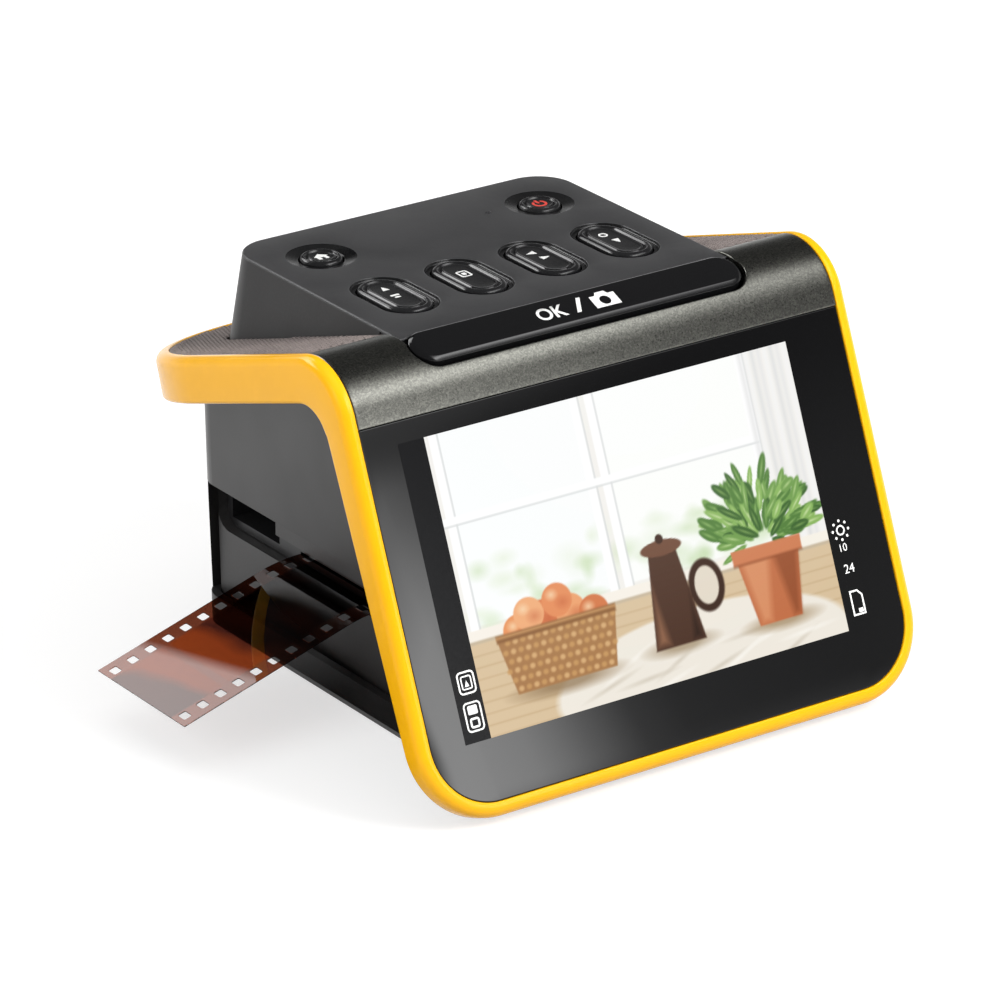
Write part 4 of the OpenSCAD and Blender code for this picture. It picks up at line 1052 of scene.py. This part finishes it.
def breakfast_table(u, v):
    """Bright still life for the display: a window, plants, a linen cloth, a basket and pots."""
    art = Painting(u, v, "f3f1ec")
    rng = np.random.default_rng(7)
    # window with greenery behind its panes, a curtain at its right
    art.box(0.02, 0.40, 0.36, 1.2, "fbfdfd")
    art.box(0.44, 0.86, 0.36, 1.2, "fdfefc")
    for _ in range(70):
        art.ball(rng.uniform(0.03, 0.86), rng.uniform(0.36, 0.56), rng.uniform(0.03, 0.09),
                 rng.uniform(0.02, 0.06), ("dfeccf", "bfd9a6", "e9f2e0")[rng.integers(3)],
                 0.9, strength=0.5)
    for x in (0.02, 0.40, 0.44, 0.86):
        art.box(x - 0.010, x + 0.012, 0.34, 1.2, "ffffff")
        art.box(x + 0.012, x + 0.016, 0.34, 1.2, "d3d6d6")
    art.box(-0.1, 0.87, 0.70, 0.725, "ffffff")
    art.box(-0.1, 0.87, 0.694, 0.70, "d9dcdc")
    for i in range(9):
        art.box(0.86 + i * 0.018, 0.869 + i * 0.018, 0.3, 1.2,
                ("e4e4e4", "f4f4f4", "dcdddd")[i % 3], soft=0.02)
    # sill, boards of the table, linen cloth with its folds
    art.box(-0.1, 1.1, 0.315, 0.35, "f7f1e6")
    art.box(-0.1, 1.1, 0.30, 0.316, "c8b79c")
    art.box(-0.1, 1.1, -0.1, 0.305, "d9c19d")
    for i in range(8):
        art.box(-0.1, 1.1, 0.038 * i, 0.038 * i + 0.003, "b89a70", soft=0.008, strength=0.55)
    art.ball(0.60, 0.03, 0.62, 0.20, "efe9de", 0.05)
    for i in range(12):
        turn = 0.25 + 0.2 * math.sin(i * 2.1)
        art.ball(0.34 + i * 0.05, 0.05 + 0.05 * math.sin(i * 1.7), 0.15, 0.012,
                 ("cfc6b6", "fbf8f1")[i % 2], 0.95, turn, 0.75)
    # wicker basket with peaches
    art.ball(0.23, 0.105, 0.27, 0.045, "8d7250", 0.7, strength=0.75)
    for cx, cy, code in ((0.13, 0.31, "e8935a"), (0.20, 0.335, "d97a4a"), (0.275, 0.33, "eda06a"),
                         (0.335, 0.305, "d47645"), (0.165, 0.355, "f0ac78"),
                         (0.245, 0.375, "e58c58")):
        art.ball(cx, cy, 0.062, 0.058, code, 0.08)
        art.ball(cx - 0.012, cy + 0.02, 0.03, 0.024, "f9d7ae", 0.95, strength=0.8)
        art.ball(cx + 0.014, cy - 0.012, 0.04, 0.03, "b9502c", 0.95, strength=0.4)
    basket = art.box(0.095, 0.365, 0.11, 0.30, "a9794a", 0.14)
    for row in range(6):
        for column in range(15):
            x = 0.085 + column * 0.0205 + (row % 2) * 0.01
            y = 0.127 + row * 0.031
            if basket[np.hypot(u - x, v - y).argmin()] > 0.5:
                art.ball(x, y, 0.0145, 0.0125, ("c9995f", "dbb07a")[column % 2], 0.6, strength=0.9)
    art.box(0.068, 0.392, 0.288, 0.312, "8a5c34", soft=0.01)
    art.box(0.068, 0.392, 0.300, 0.308, "c3915c", soft=0.01)
    # coffee pot
    art.ball(0.545, 0.115, 0.18, 0.04, "9a8464", 0.7, strength=0.7)
    art.ball(0.645, 0.285, 0.075, 0.095, "3a241a", 0.1)
    art.ball(0.645, 0.285, 0.05, 0.068, "e3d9c8", 0.1)
    art.box(0.475, 0.615, 0.115, 0.44, "4a2f22", -0.10)
    art.box(0.485, 0.515, 0.13, 0.42, "94664a", -0.10, 0.03, 0.85)
    art.box(0.585, 0.602, 0.13, 0.42, "21130d", -0.10, 0.03, 0.8)
    art.ball(0.545, 0.445, 0.088, 0.028, "6b4532", 0.1)
    art.ball(0.545, 0.475, 0.018, 0.018, "3a241a", 0.2)
    # terracotta pot with a bush
    art.ball(0.83, 0.10, 0.19, 0.04, "a08763", 0.7, strength=0.75)
    greens = (("4d7a35", "8fb866"), ("6c9a49", "b6d48c"), ("38602a", "7fa657"),
              ("86b35a", "cfe3a8"))
    for _ in range(120):
        turn = math.radians(rng.uniform(5, 175))
        start = rng.uniform(0.02, 0.17)
        dark, light = greens[rng.integers(4)]
        art.leaf(0.825 + math.cos(turn) * start * 0.75, 0.37 + math.sin(turn) * start * 1.15,
                 turn + rng.uniform(-0.5, 0.5), rng.uniform(0.07, 0.13),
                 rng.uniform(0.012, 0.02), dark, light)
    art.box(0.765, 0.885, 0.10, 0.33, "c26f46", 0.12)
    art.box(0.775, 0.80, 0.11, 0.32, "dd9468", 0.12, 0.03, 0.85)
    art.box(0.865, 0.882, 0.11, 0.32, "8f4a2a", 0.12, 0.03, 0.8)
    art.box(0.728, 0.922, 0.315, 0.365, "cf7c52", 0.03)
    art.box(0.728, 0.922, 0.31, 0.318, "8f4a2a", soft=0.01, strength=0.7)
    # daylight from the window
    glow = np.clip(1 - np.hypot((u - 0.55) * 1.1, v - 1.0), 0, 1)[:, None] * 0.22
    return np.clip(art.colour + (1 - art.colour) * glow, 0, 1)


def display_area():
    """Lit area of the display: a fine grid whose points carry the picture's colours, and the
    dark strip beside it with its signs."""
    half_w, half_h = 47.5, 32.3
    columns, rows = 372, 254
    xs = np.linspace(-half_w, half_w, columns)
    vs = np.linspace(-half_h, half_h, rows)
    shape = Shape()
    on_glass = over_glass(PICTURE_LIFT)
    ids = [shape.ring([on_glass(x, v, 0) for x in xs]) for v in vs]
    for near, far in zip(ids, ids[1:]):
        shape.band(near, far, closed=False)
    edge = (ids[0] + [row[-1] for row in ids[1:-1]] + ids[-1][::-1]
            + [row[0] for row in ids[-2:0:-1]])
    under = shape.ring([np.array(shape.points[i]) - FRONT_OUT * 0.04 for i in edge])
    shape.band(edge, under)
    shape.faces.append(tuple(under[::-1]))
    mesh = shape.piece("display_picture", sharp=30).data
    mesh.materials.append(PICTURE)
    points = np.zeros(len(mesh.vertices) * 3)
    mesh.vertices.foreach_get("co", points)
    away = points.reshape(-1, 3) / MM - SCREEN_MID
    colours = breakfast_table(away @ ACROSS / (2 * half_w) + 0.5,
                              away @ FRONT_UP / (2 * half_h) + 0.5)
    layer = mesh.color_attributes.new("picture", "BYTE_COLOR", "POINT")
    layer.data.foreach_set("color", linear(colours).ravel())

    mark("display_strip", [(box_loop(-50.75, 0, 6.5, 64.6, 0.1), [])], on_glass, DARK_PIXELS,
         thickness=0.04)
    photo, album, sun, card = (-50.5, -19.6), (-50.5, -26.9), (51.0, -10.6), (51.9, -28.6)
    signs = [ring_mark(box_loop(*photo, 4.4, 4.9, 1.0), 0.38),
             ring_mark(box_loop(*photo, 2.7, 3.0, 0.5), 0.3),
             triangle(photo[0], photo[1] - 0.3, 0.8, 90),
             ring_mark(box_loop(*album, 4.4, 6.4, 1.0), 0.38),
             (box_loop(album[0], album[1] + 1.45, 2.4, 1.9, 0.3), []),
             ring_mark(box_loop(album[0], album[1] - 1.3, 2.4, 2.2, 0.6), 0.45),
             ring_mark(oval_outline(2.3, 2.3, 10) + sun, 0.35)]
    for turn in [math.radians(45 * i) for i in range(8)]:
        ray = (sun[0] + 2.1 * math.cos(turn), sun[1] + 2.1 * math.sin(turn))
        signs.append((oval_outline(0.62, 0.62, 6) + ray, []))
    outline = [(49.7, -29.6), (53.1, -29.6), (53.1, -25.3), (51.9, -24.0), (49.7, -24.0)]
    signs += [ring_mark(np.array(outline), 0.4), (box_loop(*card, 1.2, 0.9, 0.1), [])]
    mark("display_signs", signs, over_glass(SIGNS_LIFT), WHITE_PIXELS, thickness=0.03)
    for name, text, x, v, height in (("display_level", "10", 49.4, -15.2, 1.7),
                                     ("display_count", "24", 49.7, -20.1, 2.0)):
        printed_text(name, text, height, (x, v), over_glass(SIGNS_LIFT), WHITE_PIXELS,
                     thickness=0.03)


# ---------------------------------------------------------------- grip
def raised_studs():
    """Node group that covers a flat pad with staggered studs: four-sided stumps on a grid,
    kept where a ray straight down meets the pad."""
    tree, given = node_group("raised_studs", [
        ("Spacing Across", "Float"), ("Row Spacing", "Float"), ("Stud Length", "Float"),
        ("Stud Width", "Float"), ("Stud Height", "Float"), ("Finish", "Material")])
    pad = given["Geometry"]
    spacings = (given["Spacing Across"], given["Row Spacing"])
    _, low, high = add(tree, "GeometryNodeBoundBox", {"Geometry": pad}).outputs
    extent = add(tree, "ShaderNodeVectorMath", [high, low], "Vector", operation="SUBTRACT")
    middle = add(tree, "ShaderNodeVectorMath", [high, low], "Vector", operation="ADD")
    middle = add(tree, "ShaderNodeVectorMath", {0: middle, "Scale": 0.5}, "Vector",
                 operation="SCALE")
    sizes, counts = [], []
    for length, spacing in zip(add(tree, "ShaderNodeSeparateXYZ", [extent]).outputs, spacings):
        steps = add(tree, "ShaderNodeMath", [length, spacing], 0, operation="DIVIDE")
        steps = add(tree, "ShaderNodeMath", [steps], 0, operation="FLOOR")
        sizes.append(add(tree, "ShaderNodeMath", [steps, spacing], 0, operation="MULTIPLY"))
        counts.append(add(tree, "ShaderNodeMath", [steps, 1.0], 0, operation="ADD"))
    grid = add(tree, "GeometryNodeMeshGrid", [*sizes, *counts], "Mesh")

    # every second row moves aside by half a spacing
    index = add(tree, "GeometryNodeInputIndex", result=0)
    row = add(tree, "ShaderNodeMath", [index, counts[1]], 0, operation="MODULO")
    odd = add(tree, "ShaderNodeMath", [row, 2.0], 0, operation="MODULO")
    half = add(tree, "ShaderNodeMath", [spacings[0], 0.5], 0, operation="MULTIPLY")
    aside = add(tree, "ShaderNodeMath", [odd, half], 0, operation="MULTIPLY")
    shift = add(tree, "ShaderNodeCombineXYZ", [aside], 0)
    shift = add(tree, "ShaderNodeVectorMath", [shift, middle], "Vector", operation="ADD")
    points = add(tree, "GeometryNodeSetPosition", {"Geometry": grid, "Offset": shift}, 0)

    position = add(tree, "GeometryNodeInputPosition", result=0)
    above = add(tree, "ShaderNodeVectorMath", [position, (0, 0, 0.01)], "Vector", operation="ADD")
    hit = add(tree, "GeometryNodeRaycast", {
        "Target Geometry": pad, "Source Position": above, "Ray Direction": (0, 0, -1),
        "Ray Length": 0.02}, "Is Hit")
    missed = add(tree, "FunctionNodeBooleanMath", [hit], 0, operation="NOT")
    kept = add(tree, "GeometryNodeDeleteGeometry", {"Geometry": points, "Selection": missed}, 0,
               domain="POINT")

    stump = add(tree, "GeometryNodeMeshCone", {
        "Vertices": 4, "Radius Top": 0.42, "Radius Bottom": 1.0, "Depth": 1.0}, "Mesh")
    halves = [add(tree, "ShaderNodeMath", [given[name], 0.5], 0, operation="MULTIPLY")
              for name in ("Stud Length", "Stud Width")]
    scale = add(tree, "ShaderNodeCombineXYZ", [*halves, given["Stud Height"]], 0)
    stud = add(tree, "GeometryNodeTransform", {"Geometry": stump, "Scale": scale}, 0)
    studs = add(tree, "GeometryNodeInstanceOnPoints", {"Points": kept, "Instance": stud}, 0)
    group_end(tree, studs, given["Finish"])
    return tree


def wall_foot(gap):
    """Line on the deck a gap outside the wall's foot, from its right front round its rear to
    its left front, as places across and down the deck."""
    outline = wall_outline()
    foot = []
    for point, way in zip(outline, -inward(outline)):
        drop = wall_drop(BLOCK_TOP - deck_height(point[1]), way)
        x, y = point + way * (drop * math.tan(BLOCK_DRAFT) + gap)
        down = (y - OUTER_CORNER[1]) / DECK_BACK[1] - BEND_REACH
        if point[1] >= -18 and down > PAD_START:
            foot.append((x, down))
    first = BLOCK_HALF_W + gap + 0.6
    return [(first, PAD_START + 0.1), *foot, (-first, PAD_START + 0.1)]


def grip_studs():
    """Raised studs all over the deck's rubber pad, in staggered rows, up to the block's foot."""
    gap = 1.3
    edge = RIM_W + gap
    side = HALF_W - edge
    rear = rounded_outline(side, 0, TAIL - edge - BEND_END, 0.5, TAIL_R - edge)
    rear = rear[rear[:, 1] > 2]
    block = wall_foot(gap)
    outline = without_doubles(np.vstack([
        [(side, PAD_START)], rear, [(-side, PAD_START), (block[-1][0], PAD_START)],
        block[::-1], [(block[0][0], PAD_START)]]))
    pad = bpy.data.meshes.new("grip_pad")
    pad.from_pydata([(x * MM, y * MM, 0) for x, y in outline], [],
                    [tuple(face) for face in filled(outline).tolist()])
    mesh = grown(pad, raised_studs(), {
        "Spacing Across": 2.8 * MM, "Row Spacing": 0.95 * MM, "Stud Length": 2.4 * MM,
        "Stud Width": 1.6 * MM, "Stud Height": 0.5 * MM, "Finish": FINISHES["grip_plastic"]})
    pad_drop = 0.35
    deck = Matrix((ACROSS, DECK_BACK, DECK_OUT)).transposed().to_4x4()
    mesh.transform(Matrix.Translation(cover_point(0, BEND_END, pad_drop) * MM) @ deck)
    mesh_piece(mesh, "grip_studs", slot="grip_plastic", sharp=20)


# ---------------------------------------------------------------- build
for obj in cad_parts.values():
    obj.data.materials[0] = FINISHES[obj.data.materials[0].name.split(".")[0]]

colour_rim()
cover_glass()
bend_bezel()
ok_bar()
control_plate()
control_housing()
for key in KEYS:
    key_cap(key)
grip_studs()
display_area()
markings()


# ---------------------------------------------------------------- stage
WHITE = (1, 1, 1, 1)
AMBIENT = 0.5
CEILING = 0.09
FLOOR_GREY = 0.42


def studio():
    """White surround, and a pale floor that keeps the object's shadow. Gloss sees white along
    the horizon and on the floor, and a dim ceiling."""
    scene = bpy.context.scene
    scene.view_settings.view_transform = "Standard"
    scene.world = bpy.data.worlds.new("studio")
    scene.world.use_nodes = True
    tree = scene.world.node_tree
    tree.nodes.clear()
    path = add(tree, "ShaderNodeLightPath").outputs
    direction = add(tree, "ShaderNodeTexCoord", result="Generated")
    height = add(tree, "ShaderNodeSeparateXYZ", [direction], "Z")
    mirrored = add(tree, "ShaderNodeMapRange", [height, 0.0, 0.3, 1.0, CEILING], 0)
    lit, glossy, seen = (add(tree, "ShaderNodeBackground", [WHITE, strength], 0)
                         for strength in (AMBIENT, mirrored, 1.0))
    mixed = add(tree, "ShaderNodeMixShader", [path["Is Glossy Ray"], lit, glossy], 0)
    mixed = add(tree, "ShaderNodeMixShader", [path["Is Camera Ray"], mixed, seen], 0)
    add(tree, "ShaderNodeOutputWorld", [mixed])

    floor = flat_card("floor", (0, 0, 0), (0, 0, 1), (12, 12))
    made, tree, place = material("studio_paper")
    floor.data.materials.append(made)
    path = add(tree, "ShaderNodeLightPath").outputs
    looked = path["Is Camera Ray"]
    for ray in ("Is Glossy Ray", "Is Transmission Ray"):
        looked = add(tree, "ShaderNodeMath", [looked, path[ray]], 0, operation="MAXIMUM")
    away = add(tree, "ShaderNodeVectorMath", [place], "Value", operation="LENGTH")
    lift = add(tree, "ShaderNodeMapRange", [away, 0.12, 0.6, 0.64, 1.0], 0)
    lift = add(tree, "ShaderNodeMath", [looked, lift], 0, operation="MULTIPLY")
    matt = add(tree, "ShaderNodeBsdfDiffuse", {"Color": (FLOOR_GREY,) * 3 + (1,)}, 0)
    glow = add(tree, "ShaderNodeEmission", {"Color": WHITE, "Strength": lift}, 0)
    both = add(tree, "ShaderNodeAddShader", [matt, glow], 0)
    add(tree, "ShaderNodeOutputMaterial", [both])


def flat_card(name, middle, aim, size, turn=0.0):
    """Flat rectangle that faces a point, turned about its normal, as part of the stage."""
    half_w, half_h = size[0] / 2, size[1] / 2
    mesh = bpy.data.meshes.new(name)
    mesh.from_pydata([(-half_w, -half_h, 0), (half_w, -half_h, 0), (half_w, half_h, 0),
                      (-half_w, half_h, 0)], [], [(0, 1, 2, 3)])
    card = linked(name, mesh)
    card.location = middle
    facing = (Vector(aim) - Vector(middle)).to_track_quat("Z", "Y")
    card.rotation_euler = (facing @ Quaternion((0, 0, 1), turn)).to_euler()
    return card


def reflector(name, middle, aim, size, across, up, turn=0.0):
    """Card that only gloss sees, with soft borders. Its brightness runs across and up its plane
    through (distance from its middle, level) stops, which are multiplied."""
    card = flat_card(name, middle, aim, size, turn)
    for sight in ("camera", "diffuse", "shadow", "transmission"):
        setattr(card, "visible_" + sight, False)
    made, tree, place = material(name)
    card.data.materials.append(made)
    shares, brightest, shown = [], 1.0, 1.0
    for axis, length, stops in zip(add(tree, "ShaderNodeSeparateXYZ", [place]).outputs, size,
                                   (across, up)):
        start, end, top = stops[0][0], stops[-1][0], max(level for _, level in stops)
        share = add(tree, "ShaderNodeMapRange", [axis, start, end, 0.0, 1.0], 0)
        shares.append(add(tree, "ShaderNodeValToRGB", [share], 0, stops=[
            ((at - start) / (end - start), (level / top,) * 3 + (1,)) for at, level in stops]))
        brightest *= top
        aside = add(tree, "ShaderNodeMath", [axis], 0, operation="ABSOLUTE")
        border = add(tree, "ShaderNodeMapRange", [aside, length / 2, 0.4 * length], 0,
                     interpolation_type="SMOOTHSTEP")
        shown = add(tree, "ShaderNodeMath", [border, shown], 0, operation="MULTIPLY")
    level = add(tree, "ShaderNodeMath", shares, 0, operation="MULTIPLY")
    level = add(tree, "ShaderNodeMath", [level, brightest], 0, operation="MULTIPLY")
    shine = add(tree, "ShaderNodeEmission", {"Color": WHITE, "Strength": level}, 0)
    clear = add(tree, "ShaderNodeBsdfTransparent", result=0)
    mixed = add(tree, "ShaderNodeMixShader", [shown, clear, shine], 0)
    add(tree, "ShaderNodeOutputMaterial", [mixed])


def aimed(name, data, place, direction):
    """Lamp or camera at a place that looks along a direction."""
    made = linked(name, data)
    made.location = place
    made.rotation_euler = Vector(direction).to_track_quat("-Z", "Y").to_euler()
    return made


def softbox(name, place, aim, side, power):
    """Square area lamp that looks at a point and leaves no highlight."""
    light = bpy.data.lights.new(name, "AREA")
    light.shape = "RECTANGLE"
    light.size = light.size_y = side
    light.energy = power
    aimed(name, light, place, Vector(aim) - Vector(place)).visible_glossy = False


def camera():
    """Long lens from above, in front and to the left."""
    data = bpy.data.cameras.new("camera")
    data.sensor_width = 36
    data.lens = 218.05
    bpy.context.scene.camera = aimed("camera", data, (-0.70569, -1.00150, 0.55863),
                                     (0.529398, 0.753181, -0.390459))


studio()
softbox("key", (0.42, -0.72, 0.62), (0, 0, 0.06), 0.5, 10.3)
softbox("above", (-0.1, 0.0, 1.0), (0, 0, 0.05), 0.8, 2.5)
softbox("side_left", (-0.8, -0.1, 0.45), (0, 0, 0.05), 0.5, 3.7)
# each reflector draws one shine: a fade over the glass, a band along the bend, a line on edges
# that face left, a gloss on the film and a fade over the case's side
EVEN = [(-1, 1.0), (1, 1.0)]
reflector("lens_glow", (0.160, -0.294, 0.121), (0, -0.06, 0.04), (0.26, 0.22),
          [(-0.12, 0.3), (-0.04, 0.3), (-0.009, 0.38), (0.007, 0.45), (0.02, 0.75), (0.026, 1.3),
           (0.034, 2.2), (0.042, 3.4), (0.05, 4.5), (0.065, 5.3), (0.09, 5.6)],
          [(-0.06, 1.06), (0, 1.0), (0.05, 0.58), (0.09, 0.4)])
reflector("bend_glow", (0.076, -0.136, 0.272), (-0.030, -0.002, 0.178), (0.30, 0.28),
          [(-0.12, 0.4), (-0.065, 0.55), (-0.01, 0.75), (0.04, 1.0), (0.10, 1.05)],
          [(-0.13, 0.45), (-0.10, 0.95), (-0.072, 2.8), (-0.047, 6.2), (-0.03, 6.2), (-0.01, 4.0),
           (0.019, 1.5), (0.057, 0.5), (0.10, 0.12), (0.14, 0.05)])
reflector("edge_glow", (-0.24, 0.38, 0.36), (0, 0.0, 0.09), (0.34, 0.16), EVEN,
          [(-1, 9.0), (1, 9.0)])
reflector("film_glow", (-0.02, 0.272, 0.228), (-0.085, 0.008, 0.012), (0.26, 0.2),
          [(-0.13, 1.0), (0.002, 1.0), (0.005, 0.0), (0.13, 0.0)], [(-1, 3.4), (1, 3.4)],
          turn=math.radians(-37))
reflector("floor_flag", (-0.095, 0.065, 0.002), (-0.095, 0.065, 1.0), (0.18, 0.26), EVEN,
          [(-0.085, 1.25), (-0.065, 1.35), (-0.045, 1.2), (-0.025, 1.0), (0.005, 0.65), (0.033, 0.4),
           (0.045, 0.2), (0.06, 0.02), (0.085, 0.0)])
camera()
